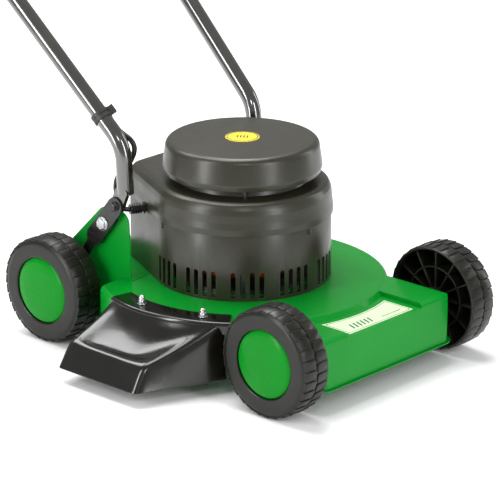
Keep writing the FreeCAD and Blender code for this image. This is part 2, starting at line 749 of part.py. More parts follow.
def end_bell(base, cup_low, cup_high):
    """A motor end plate with a bearing cup, bored for the studs and open for air."""
    plate = ring(BELL_RADIUS, BEARING_RADIUS, BELL_PLATE, (0, MOTOR_Y, base))
    cup = ring(BEARING_RADIUS + 6, BEARING_RADIUS, cup_high - cup_low, (0, MOTOR_Y, cup_low))
    body = plate.fuse(cup).removeSplitter()
    for degrees in stud_angles():
        body = body.cut(cylinder(POST_RADIUS, 60, on_circle(POST_CIRCLE, degrees, base - 20)))
        window = cylinder(18, 60, on_circle(60, degrees + 45, base - 20))
        body = body.cut(window)
    return body


def bearing(base):
    """A ball bearing, as one ring."""
    return ring(BEARING_RADIUS, SHAFT_RADIUS + RUNNING_CLEARANCE, BEARING_HEIGHT, (0, MOTOR_Y, base))


def stator_core():
    """The laminated ring with lugs for the studs."""
    height = STATOR_TOP - STATOR_BOTTOM
    body = cylinder(STATOR_RADIUS, height, (0, MOTOR_Y, STATOR_BOTTOM))
    for degrees in stud_angles():
        lug = cylinder(POST_RADIUS + 6, height, on_circle(POST_CIRCLE, degrees, STATOR_BOTTOM))
        body = body.fuse(lug)
    body = body.cut(cylinder(ROTOR_RADIUS + AIR_GAP, 200, (0, MOTOR_Y, STATOR_BOTTOM - 50)))
    for degrees in stud_angles():
        body = body.cut(cylinder(POST_RADIUS, 200, on_circle(POST_CIRCLE, degrees, STATOR_BOTTOM - 50)))
    return body.removeSplitter()


def stator_windings():
    """The end turns of the windings, below and above the core."""
    coils = []
    for near, far in ((STATOR_BOTTOM, STATOR_BOTTOM - WINDING_DROP), (STATOR_TOP, STATOR_TOP + WINDING_RISE)):
        profile = [(WINDING_INNER, near), (WINDING_OUTER, near), (WINDING_OUTER, far), (WINDING_INNER, far)]
        coils.append(turned(profile, [0, 0, 9, 9], (0, MOTOR_Y, 0)))
    return Part.makeCompound(coils)


def motor_studs():
    """Four studs from under the deck to the upper end bell."""
    low = DECK_TOP - DECK_SHEET - 10
    high = UPPER_BELL_BASE + BELL_PLATE + 8
    studs = [cylinder(POST_RADIUS, high - low, on_circle(POST_CIRCLE, a, low)) for a in stud_angles()]
    return Part.makeCompound(studs)


def motor_nuts():
    """Nuts under the deck and on the upper end bell."""
    nuts = []
    for degrees in stud_angles():
        for base, way in ((DECK_TOP - DECK_SHEET, -1), (UPPER_BELL_BASE + BELL_PLATE, 1)):
            at = on_circle(POST_CIRCLE, degrees, base)
            bore = cylinder(POST_RADIUS, 40, (at[0], at[1], base - 20))
            nuts.append(hexagon(16, 7, at, (0, 0, way)).cut(bore))
    return Part.makeCompound(nuts)


def stator_spacers():
    """Sleeves on the studs that hold the core between the end bells."""
    sleeves = []
    for degrees in stud_angles():
        for low, high in ((LOWER_BELL_BASE + BELL_PLATE, STATOR_BOTTOM), (STATOR_TOP, UPPER_BELL_BASE)):
            foot = on_circle(POST_CIRCLE, degrees, low)
            sleeves.append(ring(POST_RADIUS + 3, POST_RADIUS, high - low, foot))
    return Part.makeCompound(sleeves)


def motor_shaft():
    """The shaft, tapped below for the blade bolt."""
    low = BLADE_HEIGHT + BLADE_THICKNESS
    body = cylinder(SHAFT_RADIUS, FAN_BASE + FAN_HEIGHT + 3 - low, (0, MOTOR_Y, low))
    return body.cut(cylinder(BLADE_BOLT_RADIUS, BLADE_BOLT_REACH, (0, MOTOR_Y, low)))


def rotor_core():
    """The squirrel cage on the shaft."""
    height = STATOR_TOP - STATOR_BOTTOM
    cage = ring(ROTOR_RADIUS, SHAFT_RADIUS, height, (0, MOTOR_Y, STATOR_BOTTOM))
    rings = []
    for base in (STATOR_BOTTOM - 8, STATOR_TOP):
        rings.append(ring(ROTOR_RADIUS - 4, ROTOR_RADIUS - 16, 8, (0, MOTOR_Y, base)))
    return union([cage] + rings)


def cooling_fan():
    """The radial fan above the motor."""
    hub = ring(18, SHAFT_RADIUS, FAN_HEIGHT, (0, MOTOR_Y, FAN_BASE))
    disc = ring(FAN_RADIUS, SHAFT_RADIUS, 2, (0, MOTOR_Y, FAN_BASE))
    vanes = []
    for i in range(FAN_BLADES):
        vane = box((30, MOTOR_Y - 1, FAN_BASE), (FAN_RADIUS - 1, MOTOR_Y + 1, FAN_BASE + FAN_HEIGHT))
        vanes.append(about_motor(vane, i * 360 / FAN_BLADES))
    return union([hub, disc] + vanes)


def capacitor():
    """The run capacitor, upright in the rear box."""
    return cylinder(CAPACITOR_RADIUS, CAPACITOR_HEIGHT, (0, CAPACITOR_Y, DECK_TOP + CLAMP_SHEET))


def capacitor_tray():
    """The tray and band that hold the capacitor, with a post where the lead meets the motor's wires."""
    outer = CAPACITOR_RADIUS + CLAMP_SHEET
    top = DECK_TOP + CLAMP_SHEET
    foot = box((-outer - 8, CAPACITOR_Y - 8, DECK_TOP), (outer + 8, CAPACITOR_Y + 8, top))
    band = ring(outer, CAPACITOR_RADIUS, 14, (0, CAPACITOR_Y, top))
    end = terminal_point()
    half = TERMINAL_SIZE / 2
    post = box((end.x - half, end.y - half, DECK_TOP), (end.x + half, end.y + half, end.z + half))
    rear = end.y + half + TERMINAL_SIZE
    arm = box((end.x - half, end.y - half, DECK_TOP), (end.x + half, rear, top))
    link = box((end.x - half, rear - 10, DECK_TOP), (-outer, rear, top))
    tongue = box((-outer - 8, rear - 10, DECK_TOP), (-outer + 8, CAPACITOR_Y, top))
    tongue = tongue.cut(cylinder(CAPACITOR_RADIUS, 40, (0, CAPACITOR_Y, DECK_TOP + CLAMP_SHEET)))
    body = union([foot, band, post, arm, link, tongue])
    return body.cut(motor_lead_tail())


# ---- Blade -----------------------------------------------------------------------------------
def blade():
    """The flat cutter bar with a raised wing at each trailing end."""
    half = BLADE_LENGTH / 2
    wide = BLADE_WIDTH / 2
    outline = [(-half, -wide), (half, -wide), (half, wide), (-half, wide)]
    bar = flat_prism([(x, y + MOTOR_Y) for x, y in outline], 4, BLADE_HEIGHT, BLADE_HEIGHT + BLADE_THICKNESS)
    wings = []
    for turn in (0, 180):
        top = BLADE_HEIGHT + BLADE_THICKNESS
        section = [
            (half - 70, MOTOR_Y + wide - 14, BLADE_HEIGHT + 0.5),
            (half - 70, MOTOR_Y + wide - 1, BLADE_HEIGHT + BLADE_WING_RISE),
            (half - 70, MOTOR_Y + wide - 1, BLADE_HEIGHT + BLADE_WING_RISE + BLADE_THICKNESS),
            (half - 70, MOTOR_Y + wide - 17, top),
        ]
        wings.append(about_motor(prism(section, 0, (64, 0, 0)), turn))
    body = union([bar] + wings)
    return body.cut(cylinder(BLADE_BOLT_RADIUS, 40, (0, MOTOR_Y, BLADE_HEIGHT - 20)))


def blade_hub():
    """The cast holder that keys the blade to the shaft."""
    base = BLADE_HEIGHT + BLADE_THICKNESS
    flange = ring(HUB_RADIUS, SHAFT_RADIUS, 6, (0, MOTOR_Y, base))
    sleeve = ring(SHAFT_RADIUS + 7, SHAFT_RADIUS, HUB_TOP - base, (0, MOTOR_Y, base))
    return flange.fuse(sleeve).removeSplitter()


def blade_bolt():
    """The bolt and washer that clamp the blade from below."""
    head = hexagon(17, 7, (0, MOTOR_Y, BLADE_HEIGHT - 3), (0, 0, -1))
    washer = cylinder(16, 3, (0, MOTOR_Y, BLADE_HEIGHT - 3))
    shank = cylinder(BLADE_BOLT_RADIUS, BLADE_THICKNESS + BLADE_BOLT_REACH - 1, (0, MOTOR_Y, BLADE_HEIGHT))
    return union([head, washer, shank])


# ---- Discharge chute -------------------------------------------------------------------------
def chute_loft(inset, through=0.0):
    """The tapering hood from its root at the dome to its outer face; through carries it inwards."""
    front_y, rear_y = CHUTE_ROOT_Y[0] + inset, CHUTE_ROOT_Y[1] - inset
    front_x, rear_x = CHUTE_ROOT_X[0] + through, CHUTE_ROOT_X[1] + through
    lean = (rear_x - front_x) * CHUTE_FLARE / (rear_y - front_y)
    root_top = DECK_SHOULDER + CHUTE_FLANGE_THICKNESS - inset
    bottom = CHUTE_BOTTOM - through
    root = [
        (rear_x, rear_y, root_top),
        (front_x, front_y, root_top),
        (front_x - lean, front_y - CHUTE_FLARE, bottom),
        (rear_x + lean, rear_y + CHUTE_FLARE, bottom),
    ]
    slope = (CHUTE_LIP_X - CHUTE_LIP_BOTTOM_X) / (CHUTE_LIP_TOP - CHUTE_BOTTOM)
    top_x = CHUTE_LIP_X + inset * (1 - slope)
    bottom_x = top_x - slope * (CHUTE_LIP_TOP - inset - bottom)
    front_y, rear_y = CHUTE_LIP_Y[0] + inset, CHUTE_LIP_Y[1] - inset
    lip = [
        (top_x, rear_y, CHUTE_LIP_TOP - inset),
        (top_x, front_y, CHUTE_LIP_TOP - inset),
        (bottom_x, front_y - CHUTE_FLARE / 2, bottom),
        (bottom_x, rear_y + CHUTE_FLARE / 2, bottom),
    ]
    return Part.makeLoft([rounded_wire(root, 0), rounded_wire(lip, 0)], True, True)


def chute_flange():
    """The curved flange that lies on the dome and turns down over its shoulder."""
    start, end = CHUTE_FLANGE_ANGLES
    outer = DOME_RADIUS + FACE_GAP + CHUTE_WALL
    low = DECK_SHOULDER - 20
    top = DECK_SHOULDER + CHUTE_FLANGE_THICKNESS + CROWN_ALLOWANCE
    profile = [(CHUTE_FLANGE_INNER, low), (outer, low), (outer, top - 1.5), (CHUTE_FLANGE_INNER, top)]
    along = Vector(0, 0, 1)
    points = [(r, MOTOR_Y, z) for r, z in profile]
    face = Part.Face(rounded_wire(points, [0, 0, 5, 0]))
    sector = face.revolve(Vector(0, MOTOR_Y, 0), along, end - start)
    return about_motor(sector, start)


def dome_space():
    """What the dome and its bottom lip fill, with a small gap all round."""
    radius = DOME_RADIUS + FACE_GAP
    edge = DECK_SHOULDER + FACE_GAP / 3
    top = DECK_TOP + FACE_GAP / 3
    profile = [(0, 0), (radius, 0), (radius, edge), (DECK_PLATFORM_RADIUS, top), (0, top)]
    body = turned(profile, [0, 0, SHOULDER_FILLET, 0, 0], (0, MOTOR_Y, 0))
    rim = cylinder(radius + LIP_WIDTH, DECK_BOTTOM + DECK_SHEET + FACE_GAP, (0, MOTOR_Y, 0))
    return body.fuse(rim)


def discharge_chute():
    """The moulded hood over the side outlet, open below, fitted to the dome."""
    hollow_space = chute_loft(CHUTE_WALL, 9.0)
    hood = chute_loft(0).cut(hollow_space)
    body = hood.fuse(chute_flange().cut(hollow_space))
    body = body.cut(dome_space())
    for degrees in STUD_ANGLES:
        body = body.cut(cylinder(STUD_RADIUS, 60, on_circle(STUD_CIRCLE, degrees, 80)))
    return body.removeSplitter()


def stud_seat():
    """Height of the flange's top face at a stud."""
    fall = (DECK_TOP - DECK_SHOULDER) / (DOME_RADIUS - DECK_PLATFORM_RADIUS)
    return DECK_SHOULDER + (DOME_RADIUS - STUD_CIRCLE) * fall + CHUTE_FLANGE_THICKNESS


def chute_studs():
    """Two studs up through the deck and the flange."""
    studs = []
    for degrees in STUD_ANGLES:
        low = stud_seat() - CHUTE_FLANGE_THICKNESS - DECK_SHEET - 4.4
        stud = cylinder(STUD_RADIUS, stud_seat() + 10 - low, on_circle(STUD_CIRCLE, degrees, low))
        head = cylinder(6, 4, on_circle(STUD_CIRCLE, degrees, low))
        studs.append(stud.fuse(head).removeSplitter())
    return Part.makeCompound(studs)


def chute_nuts():
    """A washer and a domed nut on each stud."""
    nuts = []
    for degrees in STUD_ANGLES:
        seat = stud_seat() + 0.4
        at = on_circle(STUD_CIRCLE, degrees, seat)
        washer = cylinder(7, 1.4, at)
        nut = hexagon(10, 5, (at[0], at[1], seat + 1.4), (0, 0, 1))
        crown = cylinder(4.6, 4, (at[0], at[1], seat + 6.4))
        cap = Part.makeSphere(4.6, Vector(at[0], at[1], seat + 10.4))
        body = union([washer, nut, crown, cap])
        nuts.append(body.cut(cylinder(STUD_RADIUS, stud_seat() + 10 - seat + 1, (at[0], at[1], seat - 1))))
    return Part.makeCompound(nuts)


# ---- Wheels ----------------------------------------------------------------------------------
def wheel():
    """A one-piece wheel on the Y axis plane, its outer face at -WHEEL_WIDTH, axle along X."""
    width = WHEEL_WIDTH
    radius = WHEEL_DIAMETER / 2
    inner = radius - TREAD_THICKNESS
    recess = CAP_RADIUS + 0.4
    floor = width - CAP_RECESS
    profile = [
        (recess, floor - WEB_THICKNESS),
        (recess, width),
        (radius, width),
        (radius, 0),
        (inner, 0),
        (inner, width - SIDE_FACE_THICKNESS),
        (recess + WEB_THICKNESS, width - SIDE_FACE_THICKNESS),
        (recess + WEB_THICKNESS, floor - WEB_THICKNESS),
    ]
    rim = turned(profile, [0, 1.5, WHEEL_EDGE, WHEEL_EDGE, 0, 3, 3, 0], (0, 0, 0), (-1, 0, 0))
    axis = (-1, 0, 0)
    web = cylinder(recess + 1, WEB_THICKNESS, (-(floor - WEB_THICKNESS), 0, 0), axis)
    band = ring(RING_RADIUS, RING_RADIUS - RIB_THICKNESS, floor - 12, (-10, 0, 0), axis)
    hub = cylinder(HUB_OUTER, HUB_LENGTH, (0, 0, 0), axis)
    ribs = []
    for i in range(RIB_COUNT):
        rib = box((-floor + 1, -RIB_THICKNESS / 2, HUB_OUTER - 2), (-8, RIB_THICKNESS / 2, inner + 1))
        rib.rotate(Vector(0, 0, 0), Vector(1, 0, 0), i * 360 / RIB_COUNT)
        ribs.append(rib)
    body = union([rim, web, band, hub] + ribs)
    return body.cut(cylinder(AXLE_RADIUS + RUNNING_CLEARANCE, 2 * width, (width / 2, 0, 0), axis))


def hubcap():
    """The domed cap in the wheel's recess, same frame as the wheel."""
    seat = WHEEL_WIDTH - CAP_RECESS
    apex = WHEEL_WIDTH + CAP_PROUD
    shoulder = seat + 2
    rise = apex - shoulder
    sphere = (CAP_RADIUS ** 2 + rise ** 2) / (2 * rise)
    outer = cylinder(CAP_RADIUS, CAP_RECESS + CAP_PROUD + 1, (-seat, 0, 0), (-1, 0, 0))
    outer = outer.common(Part.makeSphere(sphere, Vector(-(apex - sphere), 0, 0)))
    inner = cylinder(CAP_RADIUS - CAP_WALL, CAP_RECESS + CAP_PROUD + 1, (-seat + 1, 0, 0), (-1, 0, 0))
    inner = inner.common(Part.makeSphere(sphere - CAP_WALL, Vector(-(apex - sphere), 0, 0)))
    return outer.cut(inner)


def wheel_place(shape, side, y):
    """Put a piece of a wheel at its axle end."""
    copy = shape if side < 0 else mirrored(shape)
    copy = copy.copy()
    copy.translate(Vector(side * WHEEL_INNER_X, y, AXLE_HEIGHT))
    return copy


def axle(y):
    """A rod through the deck that carries a wheel at each end."""
    half = WHEEL_INNER_X + HUB_LENGTH + FACE_GAP + RETAINER_THICKNESS + 2
    return cylinder(AXLE_RADIUS, 2 * half, (-half, y, AXLE_HEIGHT), (1, 0, 0))


def axle_spacers():
    """Sleeves that keep each wheel clear of the deck and the bracket."""
    end = WHEEL_INNER_X - FACE_GAP
    spans = [(-AXLE_Y, FRONT_HALF_WIDTH, end)]
    spans.append((AXLE_Y, REAR_HALF_WIDTH, bracket_inner_x()))
    spans.append((AXLE_Y, bracket_inner_x() + BRACKET_SHEET, end))
    sleeves = []
    for y, low, high in spans:
        sleeve = ring(AXLE_RADIUS + 4, AXLE_RADIUS, high - low, (low, y, AXLE_HEIGHT), (1, 0, 0))
        sleeves += [sleeve, mirrored(sleeve)]
    return Part.makeCompound(sleeves)


def axle_retainers():
    """Push-on washers that hold the wheels on."""
    at = WHEEL_INNER_X + HUB_LENGTH + FACE_GAP
    rings = []
    for y in (-AXLE_Y, AXLE_Y):
        piece = ring(RETAINER_RADIUS, AXLE_RADIUS, RETAINER_THICKNESS, (at, y, AXLE_HEIGHT), (1, 0, 0))
        rings += [piece, mirrored(piece)]
    return Part.makeCompound(rings)


# ---- Handle ----------------------------------------------------------------------------------
def bend_corner(side):
    """Where the upright and the sloping run of a handle tube would meet."""
    x = TUBE_FOOT_X + TUBE_SPLAY * (BEND_CORNER_HEIGHT - PIVOT_Z)
    return Vector(side * x, TUBE_Y, BEND_CORNER_HEIGHT)


def tube_direction(side):
    """The way the sloping run of a handle tube goes."""
    slope = math.radians(HANDLE_SLOPE)
    return Vector(side * TUBE_SPLAY, math.cos(slope), math.sin(slope)).normalize()


def tube_point(side, path):
    """A point on the centre line of the sloping run."""
    return bend_corner(side) + tube_direction(side) * path


def tube_foot(side):
    """The lower end of a tube's centre line."""
    x = TUBE_FOOT_X + TUBE_SPLAY * (TUBE_BOTTOM - PIVOT_Z)
    return Vector(side * x, TUBE_Y, TUBE_BOTTOM)


def top_path():
    """Length of the sloping run, up to the corner with the crossbar."""
    return (HANDLE_TOP_HEIGHT - BEND_CORNER_HEIGHT) / tube_direction(1).z


def switch_path():
    """Place of the middle of the switch box, up the sloping run."""
    return top_path() - SWITCH_DROP


def hollow(points, radii, outer, inner):
    """A tube along straight runs and tangent arcs."""
    return swept(points, radii, outer).cut(swept(points, radii, inner))


def paddle(side):
    """The flattened foot of a handle tube, bored for the pivot."""
    x = paddle_inner_x()
    half = PADDLE_WIDTH / 2
    disc = cylinder(half, PADDLE_THICKNESS, (x, PIVOT_Y, PIVOT_Z), (1, 0, 0))
    top = TUBE_BOTTOM + 10
    outline = [
        (x, PIVOT_Y - half * 0.98, PIVOT_Z - 2),
        (x, PIVOT_Y + half * 0.8, PIVOT_Z + 7),
        (x, TUBE_Y + half, top - 4),
        (x, TUBE_Y + half * 0.7, top),
        (x, TUBE_Y - half * 0.7, top),
        (x, TUBE_Y - half, top - 6),
    ]
    neck = prism(outline, 0, (PADDLE_THICKNESS, 0, 0))
    body = disc.fuse(neck).cut(through_x(PIVOT_PIN_RADIUS + RUNNING_CLEARANCE, PIVOT_Y, PIVOT_Z, TRACK_OUTER))
    return mirrored(body) if side < 0 else body


def lower_handle_tube(side):
    """One lower tube: upright from its flattened foot, then sloping back to the joint."""
    points = [tube_foot(side), bend_corner(side), tube_point(side, JOINT_PATH)]
    tube = hollow(points, TUBE_BEND_RADIUS, TUBE_RADIUS, TUBE_RADIUS - TUBE_WALL)
    return tube.fuse(paddle(side)).removeSplitter()


def handle_bow():
    """The upper handle: two sloping legs and the crossbar, bent from one tube."""
    points = [tube_point(-1, JOINT_PATH), tube_point(-1, top_path())]
    points += [tube_point(1, top_path()), tube_point(1, JOINT_PATH)]
    return hollow(points, TOP_BEND_RADIUS, TUBE_RADIUS, TUBE_RADIUS - TUBE_WALL)


def joint_sleeves():
    """Spigots inside the tubes that join the lower tubes to the bow."""
    sleeves = []
    outer = TUBE_RADIUS - TUBE_WALL
    for _, side in SIDES:
        start = tube_point(side, JOINT_PATH - JOINT_SLEEVE)
        along = tuple(tube_direction(side))
        sleeves.append(ring(outer, outer - TUBE_WALL, 2 * JOINT_SLEEVE, tuple(start), along))
    return Part.makeCompound(sleeves)


def in_tube_frame(shape, side, path):
    """Place a shape drawn with X inboard to the left, Y up the tube and Z square off its front."""
    along = tube_direction(side)
    front = Vector(1, 0, 0).cross(along).normalize()
    across = along.cross(front)
    origin = tube_point(side, path)
    matrix = FreeCAD.Matrix(
        across.x, along.x, front.x, origin.x,
        across.y, along.y, front.y, origin.y,
        across.z, along.z, front.z, origin.z,
        0, 0, 0, 1,
    )
    copy = shape.copy()
    copy.Placement = FreeCAD.Placement(matrix)
    return copy


def handle_grip():
    """The foam sleeve on the crossbar."""
    bar = tube_point(-1, top_path())
    return ring(GRIP_RADIUS, TUBE_RADIUS, GRIP_LENGTH, (-GRIP_LENGTH / 2, bar.y, bar.z), (1, 0, 0))


def strap(start, end, width, x, thickness):
    """A flat bar with round ends in the plane of the ear; start and end are (y, z)."""
    a = Vector(x, start[0], start[1])
    b = Vector(x, end[0], end[1])
    along = (b - a).normalize()
    square = Vector(1, 0, 0).cross(along)
    half = width / 2
    outline = [a + square * half, b + square * half, b - square * half, a - square * half]
    bar = prism([tuple(p) for p in outline], 0, (thickness, 0, 0))
    ends = [cylinder(half, thickness, tuple(p), (1, 0, 0)) for p in (a, b)]
    return union([bar] + ends)


def paddle_inner_x():
    """Inner face of the flattened tube foot."""
    return REAR_HALF_WIDTH + 1.3


def bracket_inner_x():
    """Inner face of the bracket's web."""
    return paddle_inner_x() + PADDLE_THICKNESS + FACE_GAP


def handle_bracket(side):
    """The channel between the pivot and the ear bolt, with a strap on down to the rear axle."""
    x = bracket_inner_x()
    pivot = (PIVOT_Y, PIVOT_Z)
    bolt = (EAR_BOLT_Y, EAR_BOLT_Z)
    end = (BRACKET_END_Y, BRACKET_END_Z)
    web = strap(pivot, end, BRACKET_WIDTH, x, BRACKET_SHEET)
    tongue = strap(end, (AXLE_Y, AXLE_HEIGHT), STRAP_WIDTH, x, BRACKET_SHEET)
    eye = cylinder(AXLE_RADIUS + 6, BRACKET_SHEET, (x, AXLE_Y, AXLE_HEIGHT), (1, 0, 0))
    way = Vector(0, end[0] - pivot[0], end[1] - pivot[1]).normalize()
    clear = PADDLE_WIDTH / 2 + BRACKET_WIDTH / 2 + 2.5
    top = (pivot[0] + way.y * clear, pivot[1] + way.z * clear)
    depth = x - REAR_HALF_WIDTH
    walls = strap(top, end, BRACKET_WIDTH, REAR_HALF_WIDTH, depth)
    walls = walls.cut(strap(top, end, BRACKET_WIDTH - 2 * BRACKET_SHEET, REAR_HALF_WIDTH - 1, depth + 2))
    boss = cylinder(9, depth, (REAR_HALF_WIDTH, bolt[0], bolt[1]), (1, 0, 0))
    body = union([web, tongue, eye, walls, boss])
    for y, z in (pivot, bolt):
        body = body.cut(through_x(PIVOT_PIN_RADIUS, y, z, TRACK_OUTER))
    body = body.cut(through_x(AXLE_RADIUS, AXLE_Y, AXLE_HEIGHT, TRACK_OUTER))
    return mirrored(body) if side < 0 else body


def cross_bolt(y, z, inner, outer, head_radius):
    """A bolt through the ear or foot with a washer outside; the left one, along X."""
    shank = cylinder(PIVOT_PIN_RADIUS, outer - inner, (inner, y, z), (1, 0, 0))
    washer = cylinder(head_radius, 1.5, (outer, y, z), (1, 0, 0))
    head = hexagon(1.45 * head_radius, 4.5, (outer + 1.5, y, z), (1, 0, 0))
    return union([shank, washer, head])


def cross_nut(y, z, face):
    """A nut on the inner end of a cross bolt, its seat at face."""
    nut = hexagon(13, 6.5, (face, y, z), (-1, 0, 0))
    return nut.cut(through_x(PIVOT_PIN_RADIUS, y, z, TRACK_OUTER))


def bracket_bolts():
    """The bright bolts that hold the brackets to the ears."""
    outer = bracket_inner_x() + BRACKET_SHEET
    bolt = cross_bolt(EAR_BOLT_Y, EAR_BOLT_Z, REAR_HALF_WIDTH - DECK_SHEET - 8, outer, 11)
    return Part.makeCompound([bolt, mirrored(bolt)])


def pivot_bolts():
    """The dark bolts that the handle turns on."""
    outer = bracket_inner_x() + BRACKET_SHEET
    bolt = cross_bolt(PIVOT_Y, PIVOT_Z, paddle_inner_x() - FACE_GAP - 8, outer, 8)
    return Part.makeCompound([bolt, mirrored(bolt)])


def bracket_and_pivot_nuts():
    """The nuts on the inner ends of the bracket and pivot bolts."""
    nuts = [cross_nut(EAR_BOLT_Y, EAR_BOLT_Z, REAR_HALF_WIDTH - DECK_SHEET)]
    nuts.append(cross_nut(PIVOT_Y, PIVOT_Z, paddle_inner_x() - FACE_GAP))
    return Part.makeCompound(nuts + [mirrored(nut) for nut in nuts])


# ---- Switch and its lever ----------------------------------------------------------------------
def switch_case():
    """Outer form of the switch box in the tube's own frame."""
    low = (SWITCH_X[0], -SWITCH_LENGTH / 2, -SWITCH_DEPTH / 2)
    high = (SWITCH_X[1], SWITCH_LENGTH / 2, SWITCH_DEPTH / 2)
    case = box(low, high)
    return case.makeFillet(6, case.Edges)


def switch_half(front):
    """One half of the switch box, bored for the tube, the cable and the inlet."""
    wall = SWITCH_WALL
    low = (SWITCH_X[0] + wall, -SWITCH_LENGTH / 2 + wall, -SWITCH_DEPTH / 2 + wall)
    high = (SWITCH_X[1] - wall, SWITCH_LENGTH / 2 - wall, SWITCH_DEPTH / 2 - wall)
    body = switch_case().cut(box(low, high))
    far = SWITCH_LENGTH
    sleeve_start = (0, -SWITCH_LENGTH / 2 + 1, 0)
    body = body.fuse(ring(TUBE_RADIUS + wall, TUBE_RADIUS, SWITCH_LENGTH - 2, sleeve_start, (0, 1, 0)))
    body = body.cut(cylinder(TUBE_RADIUS, 2 * far, (0, -far, 0), (0, 1, 0)))
    body = body.cut(cylinder(CABLE_RADIUS, far, (cable_offset()[0], -far, cable_offset()[1]), (0, 1, 0)))
    body = body.cut(cylinder(INLET_RADIUS, far, (INLET_X, -far, INLET_DROP), (0, 1, 0)))
    body = body.cut(cylinder(BUTTON_RADIUS + RUNNING_CLEARANCE, far, (BUTTON_X, BUTTON_ALONG, 0)))
    other = box((-far, -far, -far), (far, far, 0)) if front else box((-far, -far, 0), (far, far, far))
    return in_tube_frame(body.cut(other), -1, switch_path()).cut(bail_bore())


def cable_offset():
    """Where the cable lies beside the tube, across and in front of its centre line."""
    reach = TUBE_RADIUS + CABLE_RADIUS + FACE_GAP / 3
    lean = math.radians(CABLE_LEAN)
    return (reach * math.sin(lean), reach * math.cos(lean))


def bail_axis():
    """A point on the lever's pivot line, which runs along X."""
    along = tube_direction(-1)
    front = Vector(1, 0, 0).cross(along).normalize()
    return tube_point(-1, switch_path() + BAIL_ALONG) + front * BAIL_FRONT


def bail_bore():
    """The line of holes that the lever's feet turn in."""
    axis = bail_axis()
    start = (-TRACK_OUTER, axis.y, axis.z)
    return cylinder(BAIL_RADIUS + RUNNING_CLEARANCE, 2 * TRACK_OUTER, start, (1, 0, 0))


def bail_lever():
    """The wire lever that is held against the crossbar to run the motor, at rest away from it."""
    axis = bail_axis()
    along = tube_direction(1)
    slope = math.atan2(along.z, along.y) + math.radians(BAIL_TRAVEL)
    reach = top_path() - switch_path() - BAIL_ALONG
    up = Vector(0, math.cos(slope), math.sin(slope)) * reach
    right = tube_point(-1, switch_path()).x + SWITCH_X[1]
    left = tube_point(1, switch_path() + BAIL_ALONG).x - TUBE_RADIUS
    feet = [right - 12, right + 12, left - 16, left - 3]
    low = [Vector(x, axis.y, axis.z) for x in feet]
    points = [low[0], low[1], low[1] + up, low[2] + up, low[2], low[3]]
    return swept(points, [0, 7, 22, 22, 7, 0], BAIL_RADIUS)


def bail_bracket():
    """The clamp on the left tube that carries the far end of the lever."""
    across = -(TUBE_RADIUS + 13)
    clamp = ring(TUBE_RADIUS + 3, TUBE_RADIUS, 18, (0, -9, 0), (0, 1, 0))
    lug = box((across + 2, -9, -4), (-TUBE_RADIUS - 1, 9, BAIL_FRONT + 8))
    return in_tube_frame(clamp.fuse(lug).removeSplitter(), 1, switch_path() + BAIL_ALONG).cut(bail_bore())


def power_inlet():
    """The recessed plug inlet at the lower end of the switch box."""
    length = 26
    start = -SWITCH_LENGTH / 2 - 10
    body = cylinder(INLET_RADIUS, length, (INLET_X, start, INLET_DROP), (0, 1, 0))
    body = body.cut(cylinder(INLET_RADIUS - 2, 16, (INLET_X, start - 1, INLET_DROP), (0, 1, 0)))
    pins = []
    for x in (-4, 4):
        pins.append(cylinder(1.8, 14, (INLET_X + x, start + 3, INLET_DROP), (0, 1, 0)))
    return union([body] + pins)


def safety_button():
    """The push button that must be pressed before the lever will start the motor."""
    top = SWITCH_DEPTH / 2
    foot = top - SWITCH_WALL - 4
    stem = cylinder(BUTTON_RADIUS, BUTTON_HEIGHT + SWITCH_WALL + 4, (BUTTON_X, BUTTON_ALONG, foot))
    flange = cylinder(BUTTON_RADIUS + 1.5, 2, (BUTTON_X, BUTTON_ALONG, top - SWITCH_WALL - 4))
    return stem.fuse(flange).removeSplitter()


def switch_body():
    """The double-pole switch inside the box."""
    low = (BUTTON_X - 10, BUTTON_ALONG - 16, -SWITCH_DEPTH / 2 + SWITCH_WALL)
    high = (BUTTON_X + 10, BUTTON_ALONG + 16, SWITCH_DEPTH / 2 - SWITCH_WALL - BUTTON_TRAVEL - 6)
    return box(low, high)


# ---- Cable -------------------------------------------------------------------------------------
def cable_clip(path):
    """A twin-band clip round the tube and the cable, in the tube's frame."""
    x, z = cable_offset()
    bands = []
    for low in (-CLIP_WIDTH / 2, CLIP_WIDTH / 2 - CLIP_BAND):
        big = cylinder(TUBE_RADIUS + 2.5, CLIP_BAND, (0, low, 0), (0, 1, 0))
        small = cylinder(CABLE_RADIUS + 2.5, CLIP_BAND, (x, low, z), (0, 1, 0))
        bands += [big, small]
    bridge = cylinder(TUBE_RADIUS + 1.5, CLIP_WIDTH - 2, (0, -CLIP_WIDTH / 2 + 1, 0), (0, 1, 0))
    half = CLIP_TAB_THICKNESS / 2
    tab = box((-half, -CLIP_WIDTH / 2, 0), (half, CLIP_WIDTH / 2, CLIP_TAB_REACH))
    tab.rotate(Vector(), Vector(0, 1, 0), CLIP_TAB_LEAN)
    body = union(bands + [bridge, tab])
    body = body.cut(cylinder(TUBE_RADIUS, 80, (0, -40, 0), (0, 1, 0)))
    body = body.cut(cylinder(CABLE_RADIUS, 80, (x, -40, z), (0, 1, 0)))
    return in_tube_frame(body, -1, path)


def cable_clips():
    """The clips that hold the cable to the right tube."""
    paths = (LOW_CLIP_PATH, MIDDLE_CLIP_PATH, switch_path() - HIGH_CLIP_DROP)
    return Part.makeCompound([cable_clip(path) for path in paths])


def beside_tube(path):
    """A point on the cable where it lies along the right tube."""
    x, z = cable_offset()
    along = tube_direction(-1)
    front = Vector(1, 0, 0).cross(along).normalize()
    return tube_point(-1, path) + along.cross(front) * x + front * z


def route_radii(points):
    """The largest arc that each corner's two runs allow: 0.45 of the shorter run."""
    radii = [0]
    for i in range(1, len(points) - 1):
        back = points[i - 1] - points[i]
        ahead = points[i + 1] - points[i]
        half = back.getAngle(ahead) / 2
        radii.append(0.45 * min(back.Length, ahead.Length) * math.tan(half))
    return radii + [0]


